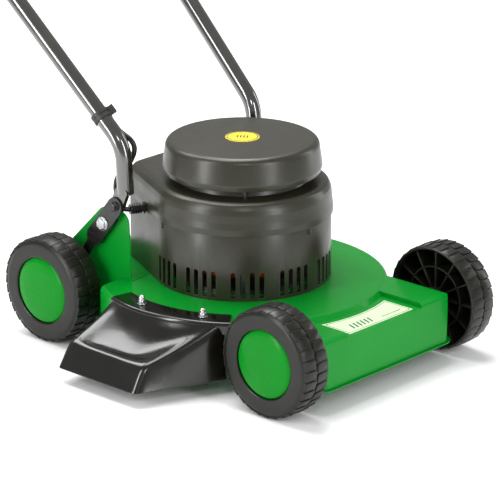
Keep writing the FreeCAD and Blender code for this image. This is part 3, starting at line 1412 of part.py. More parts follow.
def motor_lead_loop():
    """The free loop of cable between the gland and the lowest clip."""
    start, normal = gland_frame()
    points = [start + normal * GLAND_LENGTH, start + normal * (GLAND_LENGTH + LOOP_LEAD)]
    points += [Vector(*p) for p in LOOP_POINTS]
    points += [beside_tube(LOW_CLIP_PATH - 26), beside_tube(LOW_CLIP_PATH - CLIP_WIDTH / 2)]
    radii = route_radii(points)
    print("loop radii", [round(r, 1) for r in radii])
    print("loop length", round(rounded_wire(points, radii, closed=False).Length, 1))
    return swept(points, radii, CABLE_RADIUS)


def switch_cable():
    """The straight cable along the right tube, from the lowest clip to the switch box."""
    start = beside_tube(LOW_CLIP_PATH - CLIP_WIDTH / 2)
    end = beside_tube(switch_path() - SWITCH_LENGTH / 2 + SWITCH_WALL + 6)
    run = end - start
    return cylinder(CABLE_RADIUS, run.Length, tuple(start), tuple(run))


def terminal_point():
    """Where the motor lead ends inside the covers."""
    start, normal = gland_frame()
    return start - normal * TAIL_LENGTH


def motor_lead_tail():
    """The cable inside the gland and on to the terminal post."""
    normal = gland_frame()[1]
    return cylinder(CABLE_RADIUS, GLAND_LENGTH + TAIL_LENGTH, tuple(terminal_point()), tuple(normal))


# ---- Assembly ----------------------------------------------------------------------------------
def build():
    """Every piece, under its node name."""
    nodes = {
        "deck_shell": deck_shell(),
        "nameplate": nameplate(),
        "lower_motor_cover": lower_motor_cover(),
        "upper_motor_cover": upper_motor_cover(),
        "motor_lid": motor_lid(),
        "lid_sticker": lid_sticker(),
        "cover_screws": cover_screws(),
        "case_screws": case_screws(),
        "cable_gland": cable_gland(),
        "lower_end_bell": end_bell(LOWER_BELL_BASE, LOWER_BELL_BASE, LOWER_BEARING_BASE + BEARING_HEIGHT),
        "upper_end_bell": end_bell(UPPER_BELL_BASE, UPPER_BELL_BASE - 4, UPPER_BEARING_BASE + BEARING_HEIGHT),
        "motor_bearings": Part.makeCompound([bearing(LOWER_BEARING_BASE), bearing(UPPER_BEARING_BASE)]),
        "stator_core": stator_core(),
        "stator_windings": stator_windings(),
        "stator_spacers": stator_spacers(),
        "motor_studs": motor_studs(),
        "motor_nuts": motor_nuts(),
        "motor_shaft": motor_shaft(),
        "rotor_core": rotor_core(),
        "cooling_fan": cooling_fan(),
        "capacitor": capacitor(),
        "capacitor_tray": capacitor_tray(),
        "cutting_blade": blade(),
        "blade_hub": blade_hub(),
        "blade_bolt": blade_bolt(),
        "discharge_chute": discharge_chute(),
        "chute_studs": chute_studs(),
        "chute_nuts": chute_nuts(),
        "axles": Part.makeCompound([axle(-AXLE_Y), axle(AXLE_Y)]),
        "axle_spacers": axle_spacers(),
        "axle_retainers": axle_retainers(),
        "handle_bow": handle_bow(),
        "handle_joint_sleeves": joint_sleeves(),
        "handle_grip": handle_grip(),
        "bracket_bolts": bracket_bolts(),
        "pivot_bolts": pivot_bolts(),
        "bracket_and_pivot_nuts": bracket_and_pivot_nuts(),
        "switch_housing_front": switch_half(True),
        "switch_housing_back": switch_half(False),
        "switch_body": in_tube_frame(switch_body(), -1, switch_path()),
        "power_inlet": in_tube_frame(power_inlet(), -1, switch_path()),
        "safety_button": in_tube_frame(safety_button(), -1, switch_path()),
        "bail_lever": bail_lever(),
        "bail_bracket": bail_bracket(),
        "cable_clips": cable_clips(),
        "motor_lead_loop": motor_lead_loop(),
        "motor_lead_tail": motor_lead_tail(),
        "switch_cable": switch_cable(),
    }
    one_wheel = wheel()
    one_cap = hubcap()
    for end, y in (("front", -AXLE_Y), ("rear", AXLE_Y)):
        for word, side in SIDES:
            nodes[end + "_" + word + "_wheel"] = wheel_place(one_wheel, side, y)
            nodes[end + "_" + word + "_hubcap"] = wheel_place(one_cap, side, y)
    for word, side in SIDES:
        nodes["lower_handle_tube_" + word] = lower_handle_tube(side)
        nodes["handle_bracket_" + word] = handle_bracket(side)
    return nodes


def main():
    nodes = build()
    os.makedirs("parts", exist_ok=True)
    whole = FreeCAD.BoundBox()
    for shape in nodes.values():
        whole.add(shape.optimalBoundingBox(False))
    centre = Vector(-whole.Center.x, -whole.Center.y, -whole.ZMin)
    print("shift", centre)
    for name, shape in nodes.items():
        placed = shape.copy()
        placed.translate(centre)
        if not shape.isValid() or shape.Volume <= 0:
            print("CHECK", name, shape.isValid(), shape.Volume)
        placed.exportStep("parts/" + name + ".step")
    print(len(nodes), "nodes", whole)


if __name__ == "__main__":
    main()
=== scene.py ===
"""Looks for an electric rotary lawn mower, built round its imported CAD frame.

The mower's own axes are used throughout, in millimetres: +Y back towards the handle, -X the chute
side, +Z up, with the origin on the ground midway between the axles. A piece moves to the frame's
origin and to metres when its mesh is made.
"""

import json
import logging
import math
from dataclasses import dataclass
from enum import Enum
from typing import Optional, Sequence

import bmesh
import bpy
from mathutils import Matrix, Vector


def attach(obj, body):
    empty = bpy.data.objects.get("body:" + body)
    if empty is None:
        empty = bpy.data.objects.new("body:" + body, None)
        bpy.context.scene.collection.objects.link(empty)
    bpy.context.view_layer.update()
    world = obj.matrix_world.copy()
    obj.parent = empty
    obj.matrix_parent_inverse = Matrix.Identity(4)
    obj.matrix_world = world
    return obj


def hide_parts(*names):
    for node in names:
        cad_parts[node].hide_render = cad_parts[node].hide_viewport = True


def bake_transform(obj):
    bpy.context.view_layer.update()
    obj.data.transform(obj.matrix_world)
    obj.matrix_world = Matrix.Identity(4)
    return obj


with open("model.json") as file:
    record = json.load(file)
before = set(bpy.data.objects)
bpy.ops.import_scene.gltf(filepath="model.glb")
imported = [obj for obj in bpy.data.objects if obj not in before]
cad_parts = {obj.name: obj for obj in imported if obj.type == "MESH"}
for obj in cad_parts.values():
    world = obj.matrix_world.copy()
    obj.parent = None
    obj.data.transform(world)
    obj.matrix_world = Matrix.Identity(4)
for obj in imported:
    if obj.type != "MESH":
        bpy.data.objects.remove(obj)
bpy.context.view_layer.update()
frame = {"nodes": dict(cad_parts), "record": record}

logging.basicConfig(level=logging.INFO, format="%(name)s: %(message)s")
LOG = logging.getLogger("mower")

MM = 0.001
ORIGIN_SHIFT = Vector((43.5, -239.54, 0.0))
TO_FRAME = Matrix.Translation(ORIGIN_SHIFT * MM) @ Matrix.Scale(MM, 4)
MOTOR_Y = 9.0
SIDES = (("right", -1), ("left", 1))
Point = tuple[float, float]
Loop = list[Vector]


# ---- Small helpers ---------------------------------------------------------------------------
def srgb(code: str) -> tuple[float, float, float, float]:
    """Turn an sRGB hex colour into a linear one.

    Args:
        code: The colour, such as "#009132".

    Returns:
        Linear red, green, blue and an alpha of 1.
    """
    parts = [int(code[i : i + 2], 16) / 255 for i in (1, 3, 5)]
    linear = [c / 12.92 if c <= 0.04045 else ((c + 0.055) / 1.055) ** 2.4 for c in parts]
    return (*linear, 1.0)


def add_node(
    tree: bpy.types.NodeTree, kind: str, settings: Optional[dict] = None, links: Optional[dict] = None
) -> bpy.types.Node:
    """Add one node to a tree.

    Args:
        tree: The node tree.
        kind: The node's type name.
        settings: Values by socket name or index, or by the node's own property name.
        links: Sockets to link from, by input name or index.

    Returns:
        The new node.
    """
    node = tree.nodes.new(kind)
    for key, value in (settings or {}).items():
        if isinstance(key, str) and hasattr(node, key) and key not in node.inputs:
            setattr(node, key, value)
        else:
            node.inputs[key].default_value = value
    for key, source in (links or {}).items():
        tree.links.new(source, node.inputs[key])
    return node


def rounded(
    points: Sequence[Point], radii: Sequence[float], steps: int = 6, closed: bool = True
) -> list[Point]:
    """Round the corners of a flat outline.

    Args:
        points: The corners.
        radii: One radius for each corner, 0 for a sharp one.
        steps: Segments in each arc.
        closed: Whether the last point joins the first.

    Returns:
        The outline's points.
    """
    result: list[Point] = []
    count = len(points)
    for i, corner in enumerate(points):
        here = Vector(corner)
        if radii[i] <= 0 or (not closed and i in (0, count - 1)):
            result.append(tuple(here))
            continue
        back = (Vector(points[i - 1]) - here).normalized()
        ahead = (Vector(points[(i + 1) % count]) - here).normalized()
        half = back.angle(ahead) / 2
        centre = here + (back + ahead).normalized() * (radii[i] / math.sin(half))
        first = here + back * (radii[i] / math.tan(half)) - centre
        last = here + ahead * (radii[i] / math.tan(half)) - centre
        sweep = first.angle_signed(last)
        for k in range(steps + 1):
            turn = Matrix.Rotation(-sweep * k / steps, 2)
            result.append(tuple(centre + turn @ first))
    return result


def revolve(profile: Sequence[Point], segments: int = 96) -> bmesh.types.BMesh:
    """Turn a closed profile about +Z.

    Args:
        profile: Points of (radius, height) round the section.
        segments: Segments round the axis.

    Returns:
        A closed mesh.
    """
    loops = []
    for k in range(segments):
        angle = 2 * math.pi * k / segments
        loops.append([Vector((r * math.cos(angle), r * math.sin(angle), z)) for r, z in profile])
    return loft(loops, closed_along=True)


def turned(corners: Sequence[Point], radii: Sequence[float], steps: int, segments: int) -> bmesh.types.BMesh:
    """Turn a closed profile with rounded corners about +Z."""
    return revolve(rounded(corners, radii, steps), segments)


def round_motor(angle: float, radius: float, height: float) -> Vector:
    """A point at an angle and a radius about the motor."""
    return Vector((radius * math.cos(angle), MOTOR_Y + radius * math.sin(angle), height))


def loft(loops: Sequence[Loop], closed_along: bool = False, cap: bool = False) -> bmesh.types.BMesh:
    """Join loops of equal length with faces.

    Args:
        loops: The loops in order.
        closed_along: Whether the last loop joins the first.
        cap: Whether the first and last loops are filled.

    Returns:
        The mesh.
    """
    mesh = bmesh.new()
    rows = [[mesh.verts.new(p) for p in loop] for loop in loops]
    count = len(rows[0])
    for i in range(len(rows) if closed_along else len(rows) - 1):
        near, far = rows[i], rows[(i + 1) % len(rows)]
        for k in range(count):
            after = (k + 1) % count
            mesh.faces.new((near[k], near[after], far[after], far[k]))
    if cap:
        mesh.faces.new(rows[0])
        mesh.faces.new(list(reversed(rows[-1])))
    bmesh.ops.remove_doubles(mesh, verts=mesh.verts, dist=1e-4)
    bmesh.ops.dissolve_degenerate(mesh, edges=mesh.edges, dist=1e-5)
    return mesh


def block(
    low: Sequence[float], high: Sequence[float], bevel: float = 0.0, segments: int = 2
) -> bmesh.types.BMesh:
    """A box with rounded edges.

    Args:
        low: The lowest corner.
        high: The highest corner.
        bevel: Radius of the edges.
        segments: Segments in each rounded edge.

    Returns:
        The mesh.
    """
    mesh = bmesh.new()
    bmesh.ops.create_cube(mesh, size=1.0)
    size = Vector(high) - Vector(low)
    middle = (Vector(high) + Vector(low)) / 2
    place = Matrix.Translation(middle) @ Matrix.Diagonal((*size, 1.0))
    bmesh.ops.transform(mesh, matrix=place, verts=mesh.verts)
    if bevel > 0:
        bmesh.ops.bevel(
            mesh, geom=mesh.edges[:], offset=bevel, segments=segments, profile=0.5, affect="EDGES"
        )
    return mesh


def joined(meshes: Sequence[bmesh.types.BMesh]) -> bmesh.types.BMesh:
    """Put several meshes into one.

    Args:
        meshes: The meshes, which are freed.

    Returns:
        The one mesh.
    """
    result = bmesh.new()
    for part in meshes:
        data = bpy.data.meshes.new("part")
        part.to_mesh(data)
        part.free()
        result.from_mesh(data)
        bpy.data.meshes.remove(data)
    return result


def moved(mesh: bmesh.types.BMesh, matrix: Matrix) -> bmesh.types.BMesh:
    """Apply a matrix to a mesh and return it."""
    bmesh.ops.transform(mesh, matrix=matrix, verts=mesh.verts)
    return mesh


def across(centre: Sequence[float], side: int) -> Matrix:
    """A matrix that lays a piece made about +Z along X, its top pointing to that side."""
    return Matrix.Translation(Vector(centre)) @ Matrix.Rotation(side * math.pi / 2, 4, "Y")


def finish_mesh(mesh: bmesh.types.BMesh, name: str, smooth_angle: float = 32.0) -> bpy.types.Object:
    """Turn a mesh in the mower's axes into an object in the frame.

    Args:
        mesh: The mesh, which is freed.
        name: The object's name.
        smooth_angle: Edges sharper than this many degrees stay sharp.

    Returns:
        The object, linked to the scene.
    """
    bmesh.ops.transform(mesh, matrix=TO_FRAME, verts=mesh.verts)
    bmesh.ops.remove_doubles(mesh, verts=mesh.verts, dist=1e-6)
    bmesh.ops.recalc_face_normals(mesh, faces=mesh.faces)
    data = bpy.data.meshes.new(name)
    mesh.to_mesh(data)
    mesh.free()
    data.shade_smooth()
    data.set_sharp_from_angle(angle=math.radians(smooth_angle))
    piece = bpy.data.objects.new(name, data)
    bpy.context.scene.collection.objects.link(piece)
    return piece


def settle(
    piece: bpy.types.Object, body: str, material: bpy.types.Material, *replaced: str
) -> bpy.types.Object:
    """Dress a piece, tie it to its body and hide the CAD nodes it stands for.

    Args:
        piece: The finished object.
        body: The CAD body it moves with.
        material: Its material.
        *replaced: CAD nodes it replaces.

    Returns:
        The same object.
    """
    if piece.type == "MESH" and not piece.data.materials:
        piece.data.materials.append(material)
    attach(piece, body)
    if replaced:
        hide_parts(*replaced)
    slots = {entry["node"]: entry["material_slot"] for entry in frame["record"]["subparts"]}
    if replaced and replaced[0] in slots:
        slots[replaced[0]]
    LOG.info("%s on %s", piece.name, body)
    return piece


def dress(node: str, material: bpy.types.Material) -> None:
    """Give a CAD node's mesh a better material.

    Args:
        node: The node's name.
        material: The new material.
    """
    target = frame["nodes"][node]
    target.data.materials.clear()
    target.data.materials.append(material)


# ---- Repeats by Geometry Nodes ---------------------------------------------------------------
class Repeats:
    """Node trees that repeat a mesh in a ring or a row, or cut a ring of holes."""

    def __init__(self) -> None:
        """Build the trees once."""
        self.array = self._array_tree(cut=False)
        self.cutting = self._array_tree(cut=True)

    def _array_tree(self, cut: bool) -> bpy.types.NodeTree:
        """Build a tree that copies a mesh, and may cut the copies from the piece.

        Args:
            cut: Whether the copies of the Cutter are cut out of the piece.

        Returns:
            The tree.
        """
        tree = bpy.data.node_groups.new("cut_ring" if cut else "repeat_piece", "GeometryNodeTree")
        face = tree.interface
        for name, kind in (
            ("Geometry", "Geometry"), ("Count", "Int"), ("Turn", "Float"), ("Start", "Float"),
            ("Step", "Vector"), ("Cutter", "Object"), ("Material", "Material"),
        ):
            face.new_socket(name, in_out="INPUT", socket_type=f"NodeSocket{kind}")
        face.new_socket("Geometry", in_out="OUTPUT", socket_type="NodeSocketGeometry")
        inputs = add_node(tree, "NodeGroupInput").outputs
        points = add_node(tree, "GeometryNodePoints", links={"Count": inputs["Count"]})
        index = add_node(tree, "GeometryNodeInputIndex").outputs[0]
        place = add_node(
            tree, "ShaderNodeVectorMath", {"operation": "SCALE"}, {0: inputs["Step"], "Scale": index}
        )
        moved_points = add_node(
            tree,
            "GeometryNodeSetPosition",
            links={"Geometry": points.outputs[0], "Position": place.outputs[0]},
        )
        angle = add_node(
            tree,
            "ShaderNodeMath",
            {"operation": "MULTIPLY_ADD"},
            {0: index, 1: inputs["Turn"], 2: inputs["Start"]},
        )
        spin = add_node(tree, "ShaderNodeCombineXYZ", links={"Z": angle.outputs[0]})
        source = inputs["Geometry"]
        if cut:
            info = add_node(tree, "GeometryNodeObjectInfo", links={"Object": inputs["Cutter"]})
            source = info.outputs["Geometry"]
        copies = add_node(
            tree,
            "GeometryNodeInstanceOnPoints",
            links={"Points": moved_points.outputs[0], "Instance": source, "Rotation": spin.outputs[0]},
        )
        whole = {"Geometry": copies.outputs[0]}
        real = add_node(tree, "GeometryNodeRealizeInstances", links=whole).outputs[0]
        if cut:
            boolean = add_node(
                tree, "GeometryNodeMeshBoolean", {"operation": "DIFFERENCE"}, {0: inputs["Geometry"], 1: real}
            )
            real = boolean.outputs[0]
        coated = add_node(
            tree, "GeometryNodeSetMaterial", links={"Geometry": real, "Material": inputs["Material"]}
        )
        add_node(tree, "NodeGroupOutput", links={0: coated.outputs[0]})
        return tree

    def apply(
        self,
        mesh: bmesh.types.BMesh,
        count: int,
        turn: float = 0.0,
        start: float = 0.0,
        step: Sequence[float] = (0.0, 0.0, 0.0),
        cutter: Optional[bmesh.types.BMesh] = None,
    ) -> bmesh.types.BMesh:
        """Repeat a mesh, or cut a repeated cutter out of it.

        Args:
            mesh: The mesh to copy or to cut, which is freed.
            count: Number of copies.
            turn: Degrees about Z from one copy to the next.
            start: Degrees about Z of the first copy.
            step: Millimetres from one copy to the next.
            cutter: The mesh that is repeated and cut out.

        Returns:
            The plain mesh.
        """
        host = self._scratch(mesh, "host")
        tool = self._scratch(cutter, "tool") if cutter else None
        modifier = host.modifiers.new("repeat", "NODES")
        modifier.node_group = self.cutting if cutter else self.array
        values = {
            "Count": count,
            "Turn": math.radians(turn),
            "Start": math.radians(start),
            "Step": tuple(step),
            "Cutter": tool,
        }
        for item in modifier.node_group.interface.items_tree:
            if item.in_out == "INPUT" and values.get(item.name) is not None:
                modifier[item.identifier] = values[item.name]
        depsgraph = bpy.context.evaluated_depsgraph_get()
        plain = bpy.data.meshes.new_from_object(host.evaluated_get(depsgraph))
        host.modifiers.clear()
        result = bmesh.new()
        result.from_mesh(plain)
        for leftover in (host, tool):
            if leftover:
                bpy.data.objects.remove(leftover)
        return result

    @staticmethod
    def _scratch(mesh: bmesh.types.BMesh, name: str) -> bpy.types.Object:
        """Hold a mesh in a temporary object.

        Args:
            mesh: The mesh, which is freed.
            name: The object's name.

        Returns:
            The object.
        """
        data = bpy.data.meshes.new(name)
        mesh.to_mesh(data)
        mesh.free()
        holder = bpy.data.objects.new(name, data)
        bpy.context.scene.collection.objects.link(holder)
        return holder


# ---- Finishes --------------------------------------------------------------------------------
@dataclass(frozen=True)
class Finish:
    """A surface: what it is made of and how it was made.

    Attributes:
        name: The material's name.
        colour: Main sRGB colour.
        shade: Second sRGB colour, mixed in as a soft mottle.
        mottle_mm: Size of the mottle's patches.
        roughness: Middle roughness.
        spread: How far roughness wanders to each side.
        grain_mm: Spacing of the surface grain.
        grain_depth_mm: Height of the grain.
        stretch: Grain is this much longer along X, Y and Z.
        metallic: 1 for bare metal.
        coat: Weight of a clear coat.
        coat_roughness: Roughness of the coat.
        ior: Index of refraction.
    """

    name: str
    colour: str
    shade: str
    mottle_mm: float
    roughness: float
    spread: float
    grain_mm: float
    grain_depth_mm: float
    stretch: tuple[float, float, float] = (1.0, 1.0, 1.0)
    metallic: float = 0.0
    coat: float = 0.0
    coat_roughness: float = 0.03
    ior: float = 1.5

    def build(self) -> bpy.types.Material:
        """Make the Blender material.

        Returns:
            The material.
        """
        material = bpy.data.materials.new(self.name)
        material.use_nodes = True
        tree = material.node_tree
        tree.nodes.clear()
        spot = add_node(tree, "ShaderNodeTexCoord").outputs["Object"]
        scale = tuple(1000 / s for s in self.stretch)
        mapped = add_node(tree, "ShaderNodeMapping", {"Scale": scale}, {"Vector": spot}).outputs[0]
        mottle = add_node(
            tree, "ShaderNodeTexNoise", {"Scale": 1 / self.mottle_mm, "Detail": 3.0}, {"Vector": mapped}
        ).outputs["Fac"]
        grain = add_node(
            tree, "ShaderNodeTexNoise", {"Scale": 1 / self.grain_mm, "Detail": 2.0}, {"Vector": mapped}
        ).outputs["Fac"]
        colour = add_node(
            tree,
            "ShaderNodeMix",
            {"data_type": "RGBA", 6: srgb(self.colour), 7: srgb(self.shade)},
            {0: mottle},
        ).outputs[2]
        rough = add_node(
            tree,
            "ShaderNodeMapRange",
            {"From Min": 0.3, "From Max": 0.7, "To Min": self.roughness - self.spread,
             "To Max": self.roughness + self.spread},
            {"Value": mottle},
        ).outputs[0]
        bump = add_node(
            tree,
            "ShaderNodeBump",
            {"Strength": 0.6, "Distance": self.grain_depth_mm * MM},
            {"Height": grain},
        ).outputs[0]
        settings = {
            "Metallic": self.metallic,
            "Coat Weight": self.coat,
            "Coat Roughness": self.coat_roughness,
        }
        if not self.metallic:
            settings["IOR"] = self.ior
        shader = add_node(
            tree,
            "ShaderNodeBsdfPrincipled",
            settings,
            {"Base Color": colour, "Roughness": rough, "Normal": bump},
        )
        add_node(tree, "ShaderNodeOutputMaterial", links={"Surface": shader.outputs[0]})
        return material


class Surface(Enum):
    """Every finish on the mower."""

    # Stove enamel on pressed steel: deep green under a clear gloss with a faint orange peel.
    DECK_ENAMEL = Finish(
        "green_enamel_on_steel", "#008A26", "#007F22", 60, 0.34, 0.04, 3.0, 0.012,
        coat=0.1, coat_roughness=0.06, ior=1.25,
    )
    # Glass-filled polyamide from a spark-eroded mould: warm dark grey with a soft sheen.
    COVER_NYLON = Finish("moulded_grey_polyamide", "#2C2B20", "#26251B", 40, 0.33, 0.05, 0.9, 0.015)
    # Polypropylene wheel, moulded, slightly waxy.
    WHEEL_PP = Finish("moulded_black_polypropylene", "#171710", "#12110C", 25, 0.36, 0.06, 0.8, 0.02, ior=1.4)
    # Polypropylene cap, moulded in green, smoother than the wheel.
    CAP_PP = Finish("moulded_green_polypropylene", "#00801A", "#007917", 30, 0.26, 0.03, 1.2, 0.006, ior=1.22)
    # High-impact polystyrene from a polished mould: black and glossy, a little rippled.
    CHUTE_HIPS = Finish(
        "glossy_black_polystyrene", "#0B0A07", "#100F0A", 30, 0.17, 0.04, 1.6, 0.11,
        coat=0.2, coat_roughness=0.05,
    )
    # Powder coat on tube: black gloss with a fine orange peel.
    TUBE_COAT = Finish(
        "black_powder_coat", "#17160F", "#1C1B13", 50, 0.17, 0.04, 2.0, 0.008, coat=0.8, ior=2.1
    )
    # Bright zinc plate on fasteners.
    ZINC = Finish("bright_zinc_plate", "#C9CACB", "#B4B7BA", 4, 0.26, 0.07, 0.8, 0.01, metallic=1.0)
    # Black oxide on steel fasteners and brackets.
    BLACK_OXIDE = Finish("black_oxide_steel", "#0C0C0B", "#121110", 8, 0.3, 0.06, 0.8, 0.012, coat=0.2)
    # Cold-drawn rod, with fine lengthwise scratches along X.
    DRAWN_STEEL = Finish(
        "cold_drawn_steel", "#8F8F8C", "#7E7E7B", 10, 0.34, 0.06, 0.6, 0.01, (12.0, 1.0, 1.0), 1.0
    )
    # Blade steel, dipped in black paint.
    BLADE_PAINT = Finish("black_dipped_blade_steel", "#26262A", "#33322F", 14, 0.42, 0.08, 1.5, 0.03)
    # Die-cast aluminium, as cast, its grey darkened as painted shade for the parts inside the covers and
    # under the deck.
    CAST_ALUMINIUM_SHADE_DARKENED = Finish("cast_aluminium_painted_shade", "#6B6C6A", "#5C5D5E", 12, 0.48, 0.06, 0.9, 0.04, metallic=1.0)
    # Punched steel laminations: fine level lines.
    LAMINATIONS = Finish(
        "stacked_laminations", "#4B4C50", "#37383B", 6, 0.5, 0.06, 1.0, 0.08, (40.0, 40.0, 0.8), 1.0
    )
    # Varnished copper wire, wound round: level strands with a red-brown varnish.
    WINDINGS = Finish(
        "varnished_copper_wire", "#B24A22", "#7F2412", 3, 0.36, 0.08, 1.3, 0.35, (6.0, 6.0, 1.0)
    )
    # Capacitor can, moulded.
    CAN = Finish("moulded_grey_can", "#B9B9B2", "#ACACA6", 20, 0.4, 0.03, 1.0, 0.01)
    # Closed-cell foam sleeve: matt and pitted.
    FOAM = Finish("closed_cell_foam", "#1B1B1A", "#232321", 6, 0.85, 0.05, 1.1, 0.25)
    # Rubber-sheathed flex: dull black.
    FLEX = Finish("rubber_sheath", "#0D0D0C", "#131211", 10, 0.36, 0.05, 0.7, 0.02)
    # ABS switch box, moulded with a fine spark finish.
    SWITCH_ABS = Finish("moulded_black_abs", "#1E1E1D", "#242423", 20, 0.45, 0.05, 0.8, 0.04)
    # Red push button, moulded.
    BUTTON_ABS = Finish("moulded_red_abs", "#C01E18", "#B31A15", 10, 0.3, 0.03, 1.0, 0.005)
    # Label and sticker film, printed and laminated.
    LABEL_FILM = Finish("pale_printed_film", "#DDEFC9", "#D4E9BE", 40, 0.28, 0.03, 2.0, 0.004, coat=0.4)
    LABEL_INK = Finish("dark_green_ink", "#0B6B35", "#0F7239", 30, 0.3, 0.03, 2.0, 0.004, coat=0.4)
    STICKER_FILM = Finish("yellow_printed_film", "#F2DC1C", "#EBD218", 20, 0.3, 0.03, 2.0, 0.004, coat=0.4)
    STICKER_INK = Finish("black_ink", "#1C1A10", "#232013", 20, 0.35, 0.03, 2.0, 0.004, coat=0.3)


class Palette:
    """Builds each finish once, when it is first asked for."""

    def __init__(self) -> None:
        """Start with no materials."""
        self._made: dict[Surface, bpy.types.Material] = {}

    def __getitem__(self, surface: Surface) -> bpy.types.Material:
        """The material of a surface.

        Args:
            surface: The surface.

        Returns:
            Its material.
        """
        if surface not in self._made:
            self._made[surface] = surface.value.build()
        return self._made[surface]


# ---- Wheels ----------------------------------------------------------------------------------
@dataclass
class Wheel:
    """A one-piece moulded wheel with a two-row tread, and its snap-in cap."""

    radius: float = 82.5
    width: float = 52.0
    inner_x: float = 163.0
    tread_floor: float = 80.2
    rim_inner: float = 76.0
    cap_radius: float = 51.6
    cap_recess: float = 8.0
    hub_radius: float = 17.0
    bore: float = 6.08
    pads: int = 32
    pad_gap: float = 1.7
    pad_low: float = 0.9
    pad_high: float = 2.2
    shoulder: float = 6.0
    ribs: int = 12

    def profile(self) -> list[Point]:
        """Section of the wheel's body, as (radius, distance from its inner face).

        Returns:
            The rounded section.
        """
        seat = self.width - self.cap_recess
        mouth = self.cap_radius + 0.4
        corners = [
            (self.bore, 0.0), (self.bore, 46.0), (self.hub_radius, 46.0), (self.hub_radius, seat),
            (mouth, seat), (mouth, self.width - 1.2), (mouth + 2.0, self.width),
            (73.0, self.width - 0.2), (self.tread_floor + 0.6, self.width - 4.5),
            (self.tread_floor, self.width - 8.0), (self.tread_floor, 5.0), (self.radius - 3.5, 0.0),
            (self.rim_inner, 0.0), (self.rim_inner - 0.6, self.width - 4.7),
            (mouth + 4.0, self.width - 4.7), (mouth + 4.0, seat - 4.0), (49.4, seat - 4.0), (49.4, 8.0),
            (46.6, 8.0), (46.6, seat - 4.0), (self.hub_radius, seat - 4.0), (self.hub_radius, 0.0),
        ]
        radii = [0, 0.6, 0.6, 1, 0.6, 0.8, 1.2, 9, 3, 2, 2, 1.2, 0.8, 2.5, 2.5, 1.5, 1, 0.6, 0.6, 1, 1.5, 0.6]
        return rounded(corners, radii, 4)

    def pad(self, open_end: float, closed_end: float) -> bmesh.types.BMesh:
        """One tread pad: a rounded block whose top rises towards one edge, like a shingle.

        Args:
            open_end: Distance of its end at the wheel's shoulder from the wheel's inner face.
            closed_end: Distance of its rounded end, near the middle of the tread.

        Returns:
            The mesh, standing off the tread floor at +X.
        """
        half = math.pi * self.radius / self.pads - self.pad_gap / 2
        reach = abs(closed_end - open_end) / 2
        middle = (closed_end + open_end) / 2
        corners = [(-half, -reach), (half, -reach), (half, reach), (-half, reach)]
        closed_first = closed_end < open_end
        radii = [3.6, 3.6, 0.8, 0.8] if closed_first else [0.8, 0.8, 3.6, 3.6]
        outline = rounded(corners, radii, 5)
        loops = []
        for lift, shrink in ((-1.0, 0.0), (0.72, 0.0), (0.93, 0.22), (1.0, 0.6)):
            loop = []
            for x, u in outline:
                x, u = x * (1 - shrink / half), u * (1 - shrink / reach) + middle
                height = self.pad_low + (self.pad_high - self.pad_low) * (x / half + 1) / 2
                edge = min(u, self.width - u, self.shoulder)
                drop = self.shoulder - math.sqrt(self.shoulder**2 - (self.shoulder - edge) ** 2)
                r = self.tread_floor + (height * lift if lift > 0 else lift) - drop
                angle = x / self.radius
                loop.append(Vector((r * math.cos(angle), r * math.sin(angle), u)))
            loops.append(loop)
        return loft(loops, cap=True)

    def mesh(self, repeats: Repeats) -> bmesh.types.BMesh:
        """The whole wheel about +Z, its inner face at 0.

        Args:
            repeats: The node trees for repeats.

        Returns:
            The mesh.
        """
        half_turn = 180.0 / self.pads
        parts = [revolve(self.profile(), 128)]
        outer = self.pad(self.width - 2.2, self.width / 2 + 1.6)
        inner = self.pad(1.6, self.width / 2 - 1.2)
        parts.append(repeats.apply(outer, self.pads, 2 * half_turn))
        parts.append(repeats.apply(inner, self.pads, 2 * half_turn, half_turn))
        rib = block((self.hub_radius - 1, -1.5, 8.0), (self.rim_inner, 1.5, 41.0), 0.5)
        parts.append(repeats.apply(rib, self.ribs, 360 / self.ribs))
        return joined(parts)

    def cap_mesh(self) -> bmesh.types.BMesh:
        """The domed cap about +Z.

        Returns:
            The mesh.
        """
        seat = self.width - self.cap_recess
        outer = [(0.0, 54.9), (18.0, 54.6), (34.0, 53.6), (44.5, 51.9), (49.2, 50.2), (51.5, 48.0)]
        edge = [(self.cap_radius, seat), (49.4, seat)]
        inner = [(48.8, 47.6), (42.0, 49.8), (20.0, 52.2), (0.0, 52.5)]
        radii = [0, 30, 40, 14, 4, 1.6, 0, 0, 2, 6, 30, 0]
        return turned(outer + edge + inner, radii, 5, 96)

    def build(self, palette: Palette, repeats: Repeats) -> None:
        """Make the four wheels and their caps.

        Args:
            palette: The finishes.
            repeats: The node trees for repeats.
        """
        for end, y in (("front", -230.0), ("rear", 230.0)):
            for word, side in SIDES:
                place = across((side * self.inner_x, y, self.radius), side)
                body = f"{end}_{word}_roller"
                tyre = finish_mesh(moved(self.mesh(repeats), place), f"tyre_{end}_{word}", 38)
                settle(tyre, body, palette[Surface.WHEEL_PP], f"{end}_{word}_wheel")
                cap = finish_mesh(moved(self.cap_mesh(), place), f"cap_{end}_{word}", 30)
                settle(cap, body, palette[Surface.CAP_PP], f"{end}_{word}_hubcap")


